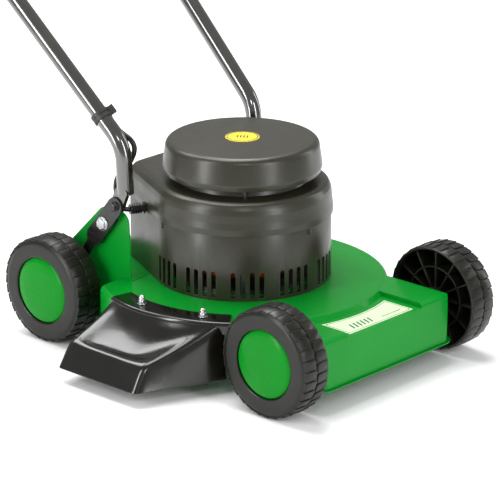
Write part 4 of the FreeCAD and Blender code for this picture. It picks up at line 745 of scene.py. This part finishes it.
# ---- Motor covers ----------------------------------------------------------------------------
@dataclass
class MotorCovers:
    """The slotted drum, its cap with the rear box, and the rain lid."""

    radius: float = 135.0
    box_y: float = 196.0
    box_half: float = 58.0
    box_corner: float = 22.0
    foot: float = 111.0
    seam: float = 213.0
    top: float = 263.0
    lap_top: float = 220.0
    arc_steps: int = 144
    slot_half: float = 3.8
    slot_low: float = 116.0
    slot_high: float = 156.0
    slot_pitch: float = 6.1
    slot_groups: tuple[float, ...] = (-195.0, -165.0, -134.0, -102.0, -70.0, -42.0, -15.0, 15.0)
    slots_in_group: int = 4
    lid_rim: float = 276.0
    lid_rim_radius: float = 121.0
    lid_top: float = 326.0
    lid_top_radius: float = 118.5
    post_circle: float = 98.0
    collar_top: float = 296.0
    screw_angles: tuple[float, ...] = (-90.0, 20.0, 160.0)
    screw_z: float = 206.0

    def outline(self, grow: float, height: float) -> Loop:
        """The covers' plan at one height.

        Args:
            grow: Millimetres outside the nominal plan.
            height: Height of the loop.

        Returns:
            The loop's points, anticlockwise from the right tangent point round the front.
        """
        radius = self.radius + grow
        half = self.box_half + grow
        depth = self.box_y + grow - MOTOR_Y
        reach = math.hypot(half, depth)
        tangent = math.atan2(depth, half) - math.acos(radius / reach)
        points: list[Point] = []
        start, end = math.pi - tangent, 2 * math.pi + tangent
        for k in range(self.arc_steps + 1):
            angle = start + (end - start) * k / self.arc_steps
            points.append((radius * math.cos(angle), radius * math.sin(angle)))
        corner = max(2.0, self.box_corner + grow)
        box = [points[-1], (half, depth), (-half, depth), points[0]]
        rear = rounded(box, [0, corner, corner, 0], 8, closed=False)
        left, right = rear[0], rear[-1]
        body = rear[1:-1]
        side_steps = 6
        shares = [k / side_steps for k in range(1, side_steps)]
        run_in = [tuple(Vector(left).lerp(Vector(body[0]), share)) for share in shares]
        run_out = [tuple(Vector(body[-1]).lerp(Vector(right), share)) for share in shares]
        return [Vector((x, y, height)) for x, y in points + run_in + body + run_out]

    def shell(self, section: Sequence[Point]) -> bmesh.types.BMesh:
        """A shell whose closed section of (grow, height) points follows the plan."""
        return loft([self.outline(grow, height) for grow, height in section], closed_along=True)

    def circle(self, radius: float, height: float) -> Loop:
        """A circle about the motor with one point in line with each point of the plan."""
        plan = [Vector((p.x, p.y, 0)).normalized() * radius for p in self.outline(0, 0)]
        return [p + Vector((0, 0, height)) for p in plan]

    def cap_mesh(self) -> bmesh.types.BMesh:
        """The upper cover, from its flared rim over the shoulder to the intake collar.

        Returns:
            The mesh.
        """
        rim = [(2.5, self.seam), (2.6, 222.0), (1.2, 232.0), (0.2, 244.0)]
        shoulder = [(-1.4, 252.0), (-5.0, 258.5), (-11.0, 262.0), (-19.0, self.top)]
        outside = rounded(rim + shoulder, [0.5, 8, 14, 14, 8, 7, 8, 0], 4, closed=False)
        inside = [(-12.0, 258.6), (-7.0, 254.0), (-4.4, 246.0), (-3.0, 232.0)]
        inside += [(-2.8, self.lap_top + 0.3), (0.3, self.lap_top + 0.3), (0.3, self.seam)]
        collar = [(103.0, self.top), (100.0, self.top + 0.8), (99.0, self.top + 3.0), (99.0, self.collar_top),
                  (96.0, self.collar_top), (96.0, self.top - 3.0)]
        loops = [self.outline(grow, height) for grow, height in outside]
        loops += [self.circle(radius, height) for radius, height in collar]
        loops += [self.outline(grow, height) for grow, height in inside]
        return loft(loops, closed_along=True)

    def drum_mesh(self, repeats: Repeats) -> bmesh.types.BMesh:
        """The lower cover with its air slots.

        Args:
            repeats: The node trees for repeats.

        Returns:
            The mesh.
        """
        side = [(0.0, self.foot), (0.0, self.lap_top), (-3.0, self.lap_top)]
        ledge = [(-3.0, 114.0), (-12.0, 114.0), (-12.0, self.foot)]
        wall = self.shell(rounded(side + ledge, [0.6, 0.6, 0.6, 1.5, 0.6, 0.6], 2))
        bottom = [(-self.slot_half, self.slot_low), (self.slot_half, self.slot_low)]
        top = [(self.slot_half, self.slot_high), (-self.slot_half, self.slot_high)]
        rounding = self.slot_half - 0.1
        outline = rounded(bottom + top, [0.8, 0.8, rounding, rounding], 5)
        depths = (self.radius - 9, self.radius + 6)
        cutter = loft([[Vector((r, y, z)) for y, z in outline] for r in depths], cap=True)
        first = -self.slot_pitch * (self.slots_in_group - 1) / 2
        group = repeats.apply(cutter, self.slots_in_group, self.slot_pitch, first)
        whole = bmesh.new()
        for degrees in self.slot_groups:
            part = group.copy()
            whole = joined([whole, moved(part, Matrix.Rotation(math.radians(degrees), 4, "Z"))])
        group.free()
        return repeats.apply(wall, 1, cutter=whole)

    def lid_mesh(self, repeats: Repeats) -> bmesh.types.BMesh:
        """The rain lid with its posts.

        Args:
            repeats: The node trees for repeats.

        Returns:
            The mesh.
        """
        rim, top = self.lid_rim_radius, self.lid_top_radius
        low, high = self.lid_rim, self.lid_top
        outer = [(0.0, high), (60.0, high - 0.4), (top - 3.0, high - 1.5), (rim, low + 8.5), (rim - 2.4, low)]
        inner = [(rim - 4.4, low), (rim - 4.0, low + 8.0), (top - 5.6, high - 4.5), (0.0, high - 3.0)]
        radii = [0, 60, 11, 9, 1.0, 0.8, 6, 6, 0]
        shell = turned(outer + inner, radii, 8, 160)
        post = revolve([(2.0, self.top), (5.0, self.top), (4.6, high - 4), (2.0, high - 4)], 24)
        post = moved(post, Matrix.Translation((self.post_circle, 0, 0)))
        return joined([shell, repeats.apply(post, 4, 90.0, 45.0)])

    def screw_mesh(self) -> bmesh.types.BMesh:
        """The pan-head screws round the rim, each with a cross on its head.

        Returns:
            The mesh.
        """
        heads = []
        for degrees in self.screw_angles:
            pan = [(0.0, 0.7), (1.0, 0.7), (1.2, 1.7), (3.8, 1.1), (3.8, -0.2), (0.0, -0.2)]
            head = turned(pan, [0, 0, 0.2, 0.8, 0, 0], 4, 32)
            arms = ((1.9, 0.35), (0.35, 1.9))
            cross = [block((-x, -y, 1.2), (x, y, 1.62), 0.08, 1) for x, y in arms]
            shank = revolve([(0.0, -10.0), (1.9, -10.0), (1.9, 0.0), (0.0, 0.0)], 16)
            angle = math.radians(degrees)
            spot = Vector((math.cos(angle), math.sin(angle), 0)) * (self.radius + 0.1)
            turn = Matrix.Rotation(angle, 4, "Z") @ Matrix.Rotation(math.pi / 2, 4, "Y")
            spot.z = self.screw_z
            heads.append(moved(joined([head, shank] + cross), Matrix.Translation(spot) @ turn))
        return joined(heads)

    def build(self, palette: Palette, repeats: Repeats) -> None:
        """Make the covers, the lid, its sticker and the screws.

        Args:
            palette: The finishes.
            repeats: The node trees for repeats.
        """
        to_motor = Matrix.Translation((0, MOTOR_Y, 0))
        nylon = palette[Surface.COVER_NYLON]
        for mesh, name, node in (
            (self.cap_mesh(), "motor_cap", "upper_motor_cover"),
            (self.drum_mesh(repeats), "motor_drum", "lower_motor_cover"),
            (self.lid_mesh(repeats), "rain_lid", "motor_lid"),
        ):
            settle(finish_mesh(moved(mesh, to_motor), name, 30), "mower", nylon, node)
        screws = finish_mesh(moved(self.screw_mesh(), to_motor), "rim_screws")
        settle(screws, "mower", palette[Surface.BLACK_OXIDE], "cover_screws")
        self.sticker(palette, repeats, to_motor)

    def sticker(self, palette: Palette, repeats: Repeats, place: Matrix) -> None:
        """The round sticker: a yellow disc with a dark ring and plain dashes.

        Args:
            palette: The finishes.
            repeats: The node trees for repeats.
            place: The matrix that brings the motor's axes to the mower's.
        """
        top = self.lid_top
        disc = revolve([(0.0, top + 0.35), (25.6, top + 0.2), (26.0, top - 0.2), (0.0, top - 0.2)], 96)
        film = finish_mesh(moved(disc, place), "lid_sticker_disc")
        settle(film, "mower", palette[Surface.STICKER_FILM], "lid_sticker")
        ring = revolve([(22.6, top + 0.2), (24.0, top + 0.2), (24.0, top + 0.42), (22.6, top + 0.42)], 96)
        dash = block((-6.0, -0.9, top + 0.25), (6.0, 0.9, top + 0.45))
        row = repeats.apply(moved(dash, Matrix.Translation((0, -7.5, 0))), 4, step=(0.0, 5.0, 0.0))
        marks = moved(joined([ring, row]), place @ Matrix.Rotation(math.radians(35), 4, "Z"))
        settle(finish_mesh(marks, "lid_sticker_marks"), "mower", palette[Surface.STICKER_INK])


# ---- Deck ------------------------------------------------------------------------------------
@dataclass
class Deck:
    """The pressed deck's finish and its nameplate."""

    plate_half: float = 71.0
    plate_front: float = -270.0
    plate_arc: float = 234.0
    plate_z: float = 100.4

    def plate_outline(self, inset: float, z: float) -> Loop:
        """The nameplate's outline: straight in front, an arc behind.

        Args:
            inset: Millimetres inside the plate's edge.
            z: Height of the loop.

        Returns:
            The loop's points.
        """
        half, front, arc = self.plate_half - inset, self.plate_front + inset, self.plate_arc + inset
        rear = []
        for k in range(25):
            x = half - 2 * half * k / 24
            rear.append((x, MOTOR_Y - math.sqrt(arc * arc - x * x)))
        corners = [(-half, front), (half, front)] + rear
        radii = [3.0, 3.0, 3.0] + [0.0] * 23 + [3.0]
        return [Vector((x, y, z)) for x, y in rounded(corners, radii, 4)]

    def build(self, palette: Palette, repeats: Repeats) -> None:
        """Dress the deck and lay the nameplate and its print.

        Args:
            palette: The finishes.
            repeats: The node trees for repeats.
        """
        dress("deck_shell", palette[Surface.DECK_ENAMEL])
        dress("nameplate", palette[Surface.LABEL_FILM])
        z = self.plate_z
        section = ((2.6, z - 0.1), (2.6, z + 0.12), (3.5, z + 0.12), (3.5, z - 0.1))
        border = loft([self.plate_outline(i, h) for i, h in section], closed_along=True)
        bar = block((-1.6, -8.0, z - 0.1), (1.6, 8.0, z + 0.15), 0.05, 1)
        shear = Matrix(((1, 0.35, 0, 0), (0, 1, 0, 0), (0, 0, 1, 0), (0, 0, 0, 1)))
        bars = repeats.apply(moved(bar, shear), 6, step=(8.0, 0.0, 0.0))
        emblem = moved(bars, Matrix.Translation((-46.0, -252.0, 0.0)))
        dash = block((-1.3, -1.2, z - 0.1), (1.3, 1.2, z + 0.13))
        dashes = moved(repeats.apply(dash, 9, step=(4.6, 0.0, 0.0)), Matrix.Translation((18.0, -257.0, 0.0)))
        ink = finish_mesh(joined([border, emblem, dashes]), "nameplate_print")
        settle(ink, "mower", palette[Surface.LABEL_INK])


# ---- Discharge chute -------------------------------------------------------------------------
@dataclass
class Chute:
    """The moulded hood and its curved flange."""

    lip_x: float = -292.0
    lip_z: float = 58.0
    foot_x: float = -314.0
    foot_z: float = 22.0
    root_front: Point = (-180.0, -122.0)
    root_rear: Point = (-214.0, 80.0)
    lip_front: float = -66.0
    lip_rear: float = 90.0
    root_z: float = 109.0
    dish: float = 6.5
    dome: float = 222.5
    stud_circle: float = 206.0
    stud_angles: tuple[float, ...] = (176.5, 206.5)
    stud_seat: float = 110.8

    def top_point(self, s: float, t: float) -> Vector:
        """A point on the hood's top; s runs from dome to lip, t from front to rear.

        Args:
            s: Share of the way from the dome to the lip.
            t: Share of the way from front to rear.

        Returns:
            The point, in the mower's axes.
        """
        front = math.atan2(self.root_front[1] - MOTOR_Y, self.root_front[0])
        rear = math.atan2(self.root_rear[1] - MOTOR_Y, self.root_rear[0])
        front, rear = front % (2 * math.pi), rear % (2 * math.pi)
        angle = front + (rear - front) * t
        reach = self.dome + 0.8
        root = round_motor(angle, reach, self.root_z - 1.5)
        lip = Vector((self.lip_x, self.lip_front + (self.lip_rear - self.lip_front) * t, self.lip_z))
        point = root.lerp(lip, s)
        across_dish = smooth_step((min(t, 1 - t) - 0.05) / 0.2)
        along_dish = smooth_step(s / 0.25) * smooth_step((0.95 - s) / 0.16)
        point.z -= self.dish * across_dish * along_dish + 3.0 * math.sin(math.pi * s)
        return point

    def foot_point(self, s: float, t: float) -> Vector:
        """The point on the hood's open bottom edge below an edge point of its top.

        Args:
            s: Share of the way from the dome to the lip.
            t: Share of the way from front to rear.

        Returns:
            The point, in the mower's axes.
        """
        top = self.top_point(s, t)
        spread = (2 * t - 1) * (6.0 - 3.0 * s)
        x = top.x + (self.foot_x - self.lip_x) * s
        return Vector((x, top.y + spread, self.foot_z))

    def hood_mesh(self) -> bmesh.types.BMesh:
        """The hood as a smooth cage: top grid, sides and outer face.

        Returns:
            The open cage, without its thickness.
        """
        s_steps = [0.0, 0.06, 0.16, 0.35, 0.6, 0.8, 0.88, 1.0]
        t_steps = [0.0, 0.08, 0.17, 0.28, 0.4, 0.5, 0.6, 0.72, 0.83, 0.92, 1.0]
        mesh = bmesh.new()
        grid = [[mesh.verts.new(self.top_point(s, t)) for t in t_steps] for s in s_steps]
        for i in range(len(s_steps) - 1):
            for k in range(len(t_steps) - 1):
                mesh.faces.new((grid[i][k], grid[i][k + 1], grid[i + 1][k + 1], grid[i + 1][k]))
        edge = [(i, 0) for i in range(len(s_steps))]
        edge += [(len(s_steps) - 1, k) for k in range(1, len(t_steps))]
        edge += [(i, len(t_steps) - 1) for i in range(len(s_steps) - 2, -1, -1)]
        above = [grid[i][k] for i, k in edge]
        for drop in (0.4, 0.7, 0.96, 1.0):
            row = []
            for i, k in edge:
                top = self.top_point(s_steps[i], t_steps[k])
                foot = self.foot_point(s_steps[i], t_steps[k])
                row.append(mesh.verts.new(top.lerp(foot, drop)))
            for k in range(len(row) - 1):
                mesh.faces.new((above[k], above[k + 1], row[k + 1], row[k]))
            above = row
        return mesh

    def flange_mesh(self) -> bmesh.types.BMesh:
        """The curved flange with its turned-down skirt.

        Returns:
            The mesh.
        """
        plate = [(190.0, 108.7), (190.0, 111.6), (self.dome + 2.6, 110.0)]
        skirt = [(self.dome + 2.8, 92.0), (self.dome, 92.0), (self.dome, 107.1)]
        section = rounded(plate + skirt, [0.8, 1.2, 5.5, 1.0, 0.8, 3.5], 5)
        loops = []
        for k in range(57):
            angle = math.radians(162.0 + k)
            loops.append([round_motor(angle, r, z) for r, z in section])
        return loft(loops, cap=True)

    def nut_mesh(self) -> bmesh.types.BMesh:
        """A washer and a domed nut on each stud.

        Returns:
            The mesh.
        """
        parts = []
        for degrees in self.stud_angles:
            angle = math.radians(degrees)
            spot = round_motor(angle, self.stud_circle, self.stud_seat)
            washer = turned([(3.2, 0.4), (7.0, 0.4), (7.0, 1.7), (3.2, 1.7)], [0, 0.4, 0.4, 0], 3, 40)
            barrel = [(0.0, 1.8), (5.2, 1.8), (5.2, 6.6), (4.4, 7.4)]
            tip = [(4.4, 10.6), (3.6, 13.4), (0.0, 14.4)]
            dome = turned(barrel + tip, [0, 0.3, 0.4, 0.8, 2.0, 2.0, 0], 5, 40)
            parts += [moved(p, Matrix.Translation(spot)) for p in (washer, dome, hex_prism(10.0, 1.7, 6.7))]
        return joined(parts)

    def build(self, palette: Palette) -> None:
        """Make the hood, flange and nuts.

        Args:
            palette: The finishes.
        """
        gloss = palette[Surface.CHUTE_HIPS]
        hood = finish_mesh(self.hood_mesh(), "chute_hood", 180)
        thick = hood.modifiers.new("wall", "SOLIDIFY")
        thick.thickness = 3.0 * MM
        thick.offset = -1.0
        smooth = hood.modifiers.new("smooth", "SUBSURF")
        smooth.levels = smooth.render_levels = 3
        settle(hood, "mower", gloss, "discharge_chute")
        settle(finish_mesh(self.flange_mesh(), "chute_flange", 40), "mower", gloss)
        settle(finish_mesh(self.nut_mesh(), "chute_domed_nuts"), "mower", palette[Surface.ZINC], "chute_nuts")


def smooth_step(value: float) -> float:
    """Zero below 0, one above 1, and a smooth rise between."""
    value = min(1.0, max(0.0, value))
    return value * value * (3 - 2 * value)


def hex_prism(flats: float, low: float, high: float, bevel: float = 0.6) -> bmesh.types.BMesh:
    """A hexagonal nut body about +Z with its corners turned down.

    Args:
        flats: Width across the flats.
        low: Height of the seat.
        high: Height of the top.
        bevel: Depth of the turned corners.

    Returns:
        The mesh.
    """
    corner = flats / math.sqrt(3)
    loops = []
    for z, shrink in ((low, bevel), (low + bevel * 0.6, 0.0), (high - bevel * 0.6, 0.0), (high, bevel)):
        reach = corner - shrink
        turns = [math.pi * k / 3 for k in range(6)]
        loops.append([Vector((reach * math.cos(turn), reach * math.sin(turn), z)) for turn in turns])
    return loft(loops, cap=True)


# ---- Fasteners on the brackets ---------------------------------------------------------------
@dataclass
class Bolt:
    """A hexagon bolt with a washer, across the mower."""

    y: float
    z: float
    seat_x: float
    washer_radius: float
    flats: float
    inner_x: float
    shank: float = 4.0

    def mesh(self, side: int) -> bmesh.types.BMesh:
        """The bolt on one side.

        Args:
            side: -1 for the right, 1 for the left.

        Returns:
            The mesh.
        """
        rim = self.washer_radius
        washer = turned([(3.6, 0.0), (rim, 0.0), (rim, 1.5), (3.6, 1.5)], [0, 0.5, 0.5, 0], 3, 48)
        skirt = [(0.0, 1.5), (self.flats * 0.62, 1.5), (self.flats * 0.6, 2.6), (0.0, 3.4)]
        flange = turned(skirt, [0, 0.3, 0.6, 0], 3, 48)
        head = hex_prism(self.flats, 2.4, 6.0, 0.7)
        length = self.seat_x - self.inner_x
        shank = revolve([(0.0, -length), (self.shank, -length), (self.shank, 0.2), (0.0, 0.2)], 24)
        place = across((side * self.seat_x, self.y, self.z), side)
        return moved(joined([washer, flange, head, shank]), place)


class Fasteners:
    """The bracket and pivot bolts."""

    def build(self, palette: Palette) -> None:
        """Make both pairs of bolts.

        Args:
            palette: The finishes.
        """
        ear = Bolt(155.6, 192.3, 153.1, 11.0, 15.0, 131.4)
        pivot = Bolt(130.0, 225.0, 153.1, 8.0, 11.5, 134.0)
        for bolt, name, node, surface in (
            (ear, "ear_bolts", "bracket_bolts", Surface.ZINC),
            (pivot, "handle_pivot_bolts", "pivot_bolts", Surface.BLACK_OXIDE),
        ):
            pair = joined([bolt.mesh(side) for _, side in SIDES])
            settle(finish_mesh(pair, name), "mower", palette[surface], node)


# ---- Cable -----------------------------------------------------------------------------------
@dataclass
class Cable:
    """The motor lead's free loop from the gland to the lowest clip."""

    radius: float = 4.0
    route: tuple[tuple[float, float, float], ...] = ()

    def build(self, palette: Palette) -> None:
        """Make the loop as one smooth tube.

        Args:
            palette: The finishes.
        """
        curve = bpy.data.curves.new("motor_lead", "CURVE")
        curve.dimensions = "3D"
        curve.bevel_depth = self.radius * MM
        curve.bevel_resolution = 6
        curve.use_fill_caps = True
        spline = curve.splines.new("NURBS")
        spline.points.add(len(self.route) - 1)
        for point, spot in zip(spline.points, self.route):
            point.co = (*(TO_FRAME @ Vector(spot)), 1.0)
        spline.order_u = 3
        spline.use_endpoint_u = True
        spline.resolution_u = 8
        holder = bpy.data.objects.new("motor_lead_curve", curve)
        bpy.context.scene.collection.objects.link(holder)
        depsgraph = bpy.context.evaluated_depsgraph_get()
        data = bpy.data.meshes.new_from_object(holder.evaluated_get(depsgraph))
        bpy.data.objects.remove(holder)
        data.shade_smooth()
        tube = bpy.data.objects.new("motor_lead_tube", data)
        bpy.context.scene.collection.objects.link(tube)
        tube.data.materials.clear()
        tube.data.materials.append(palette[Surface.FLEX])
        start = TO_FRAME @ Vector(self.route[1])
        end = TO_FRAME @ Vector(self.route[-2])
        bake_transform(tube)
        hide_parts("motor_lead_loop")


# ---- Plain carried-over nodes ----------------------------------------------------------------
DRESSED: dict[Surface, tuple[str, ...]] = {
    Surface.TUBE_COAT: ("lower_handle_tube_right", "lower_handle_tube_left", "handle_bow", "bail_lever"),
    Surface.BLACK_OXIDE: ("handle_bracket_right", "handle_bracket_left", "case_screws"),
    Surface.ZINC: (
        "bracket_and_pivot_nuts", "chute_studs", "motor_studs", "motor_nuts", "blade_bolt", "axle_retainers",
    ),
    Surface.DRAWN_STEEL: (
        "axles", "axle_spacers", "motor_shaft", "motor_bearings", "stator_spacers", "handle_joint_sleeves",
    ),
    # The end bells and blade hub take aluminium darkened as painted shade.
    Surface.CAST_ALUMINIUM_SHADE_DARKENED: ("lower_end_bell", "upper_end_bell", "blade_hub"),
    Surface.LAMINATIONS: ("stator_core", "rotor_core"),
    Surface.WINDINGS: ("stator_windings",),
    Surface.CAN: ("capacitor",),
    Surface.COVER_NYLON: ("cooling_fan",),
    Surface.BLADE_PAINT: ("cutting_blade",),
    Surface.FOAM: ("handle_grip",),
    Surface.FLEX: ("cable_gland", "motor_lead_tail", "switch_cable"),
    Surface.SWITCH_ABS: (
        "switch_housing_front", "switch_housing_back", "switch_body", "power_inlet", "bail_bracket",
        "cable_clips", "capacitor_tray",
    ),
    Surface.BUTTON_ABS: ("safety_button",),
}


# ---- Studio ----------------------------------------------------------------------------------
def placed(name: str, data: bpy.types.ID, eye: Sequence[float], aim: Sequence[float]) -> bpy.types.Object:
    """Put a camera or a light at one point, facing another; both are in the mower's axes.

    Args:
        name: The object's name.
        data: The camera or light data.
        eye: Where it stands.
        aim: What it faces.

    Returns:
        The object.
    """
    item = bpy.data.objects.new(name, data)
    spot = TO_FRAME @ Vector(eye)
    facing = (TO_FRAME @ Vector(aim) - spot).to_track_quat("-Z", "Y").to_matrix().to_4x4()
    item.matrix_world = Matrix.Translation(spot) @ facing
    bpy.context.scene.collection.objects.link(item)
    return item


@dataclass
class Studio:
    """Floor, lights and camera."""

    eye: tuple[float, float, float] = (-3161.9, -2923.0, 1640.6)
    target: tuple[float, float, float] = (52.9, 42.3, 124.3)
    lens: float = 215.8
    lamps: tuple[tuple[str, tuple[float, float, float], float, float, float], ...] = (
        ("behind_left", (-350, 1900, 2300), 1000, 900, 24.0),
        ("left_strip", (-2300, 500, 900), 350, 1900, 34.0),
        ("front_strip", (-300, -2600, 1000), 350, 1900, 30.0),
        ("right_strip", (2400, -900, 900), 500, 1900, 12.0),
        ("overhead", (100, 500, 2400), 1600, 1200, 42.0),
        ("camera_side", (-2300, -2300, 2300), 500, 500, 14.0),
    )
    world_strength: float = 0.42

    def build(self) -> None:
        """Set the stage."""
        self.floor()
        self.camera()
        for lamp in self.lamps:
            self.light(*lamp)
        self.light("backdrop", (1700, 1600, 3200), 1600, 1600, 40.0, aim=(1700, 1600, 0))
        world = bpy.data.worlds.new("studio")
        world.use_nodes = True
        sky = world.node_tree.nodes["Background"].inputs
        sky["Color"].default_value = (1.0, 1.0, 1.0, 1.0)
        sky["Strength"].default_value = self.world_strength
        bpy.context.scene.world = world
        bpy.context.scene.view_settings.view_transform = "Standard"

    def floor(self) -> None:
        """A wide pale floor."""
        mesh = bmesh.new()
        corners = [(-9000, -9000), (9000, -9000), (9000, 9000), (-9000, 9000)]
        mesh.faces.new([mesh.verts.new((x, y, -0.2)) for x, y in corners])
        plane = finish_mesh(mesh, "floor")
        paint = Finish("matt_white_floor", "#FFFFFF", "#FDFDFE", 400, 0.8, 0.02, 5.0, 0.01).build()
        plane.data.materials.append(paint)

    def camera(self) -> None:
        """The camera, well back with a long lens."""
        data = bpy.data.cameras.new("camera")
        data.lens = self.lens
        data.sensor_width = 36.0
        data.clip_end = 100.0
        bpy.context.scene.camera = placed("camera", data, self.eye, self.target)

    def light(
        self, name: str, place: Sequence[float], width: float, height: float, power: float,
        aim: Sequence[float] = (0, 0, 150),
    ) -> None:
        """One softbox.

        Args:
            name: The light's name.
            place: Its place in the mower's axes.
            width: Its width in millimetres.
            height: Its height in millimetres.
            power: Its power in watts.
            aim: The point that it faces, in the mower's axes; the motor unless given.
        """
        data = bpy.data.lights.new(name, "AREA")
        data.shape = "RECTANGLE"
        data.size = width * MM
        data.size_y = height * MM
        data.energy = power
        placed(name, data, place, aim)


LOOP_ROUTE = (
    (-119.5, 130.5, 213.0),
    (-132.9, 137.2, 213.0),
    (-129.0, 151.0, 236.0),
    (-134.0, 145.0, 264.0),
    (-124.0, 122.0, 290.0),
    (-124.0, 110.0, 322.0),
    (-130.9, 144.6, 338.8),
    (-132.0, 158.9, 352.0),
)


def main() -> None:
    """Build every piece in order."""
    palette = Palette()
    repeats = Repeats()
    Studio().build()
    Deck().build(palette, repeats)
    MotorCovers().build(palette, repeats)
    Chute().build(palette)
    Wheel().build(palette, repeats)
    Fasteners().build(palette)
    Cable(route=LOOP_ROUTE).build(palette)
    for surface, nodes in DRESSED.items():
        for node in nodes:
            dress(node, palette[surface])


if __name__ == "__main__":
    main()
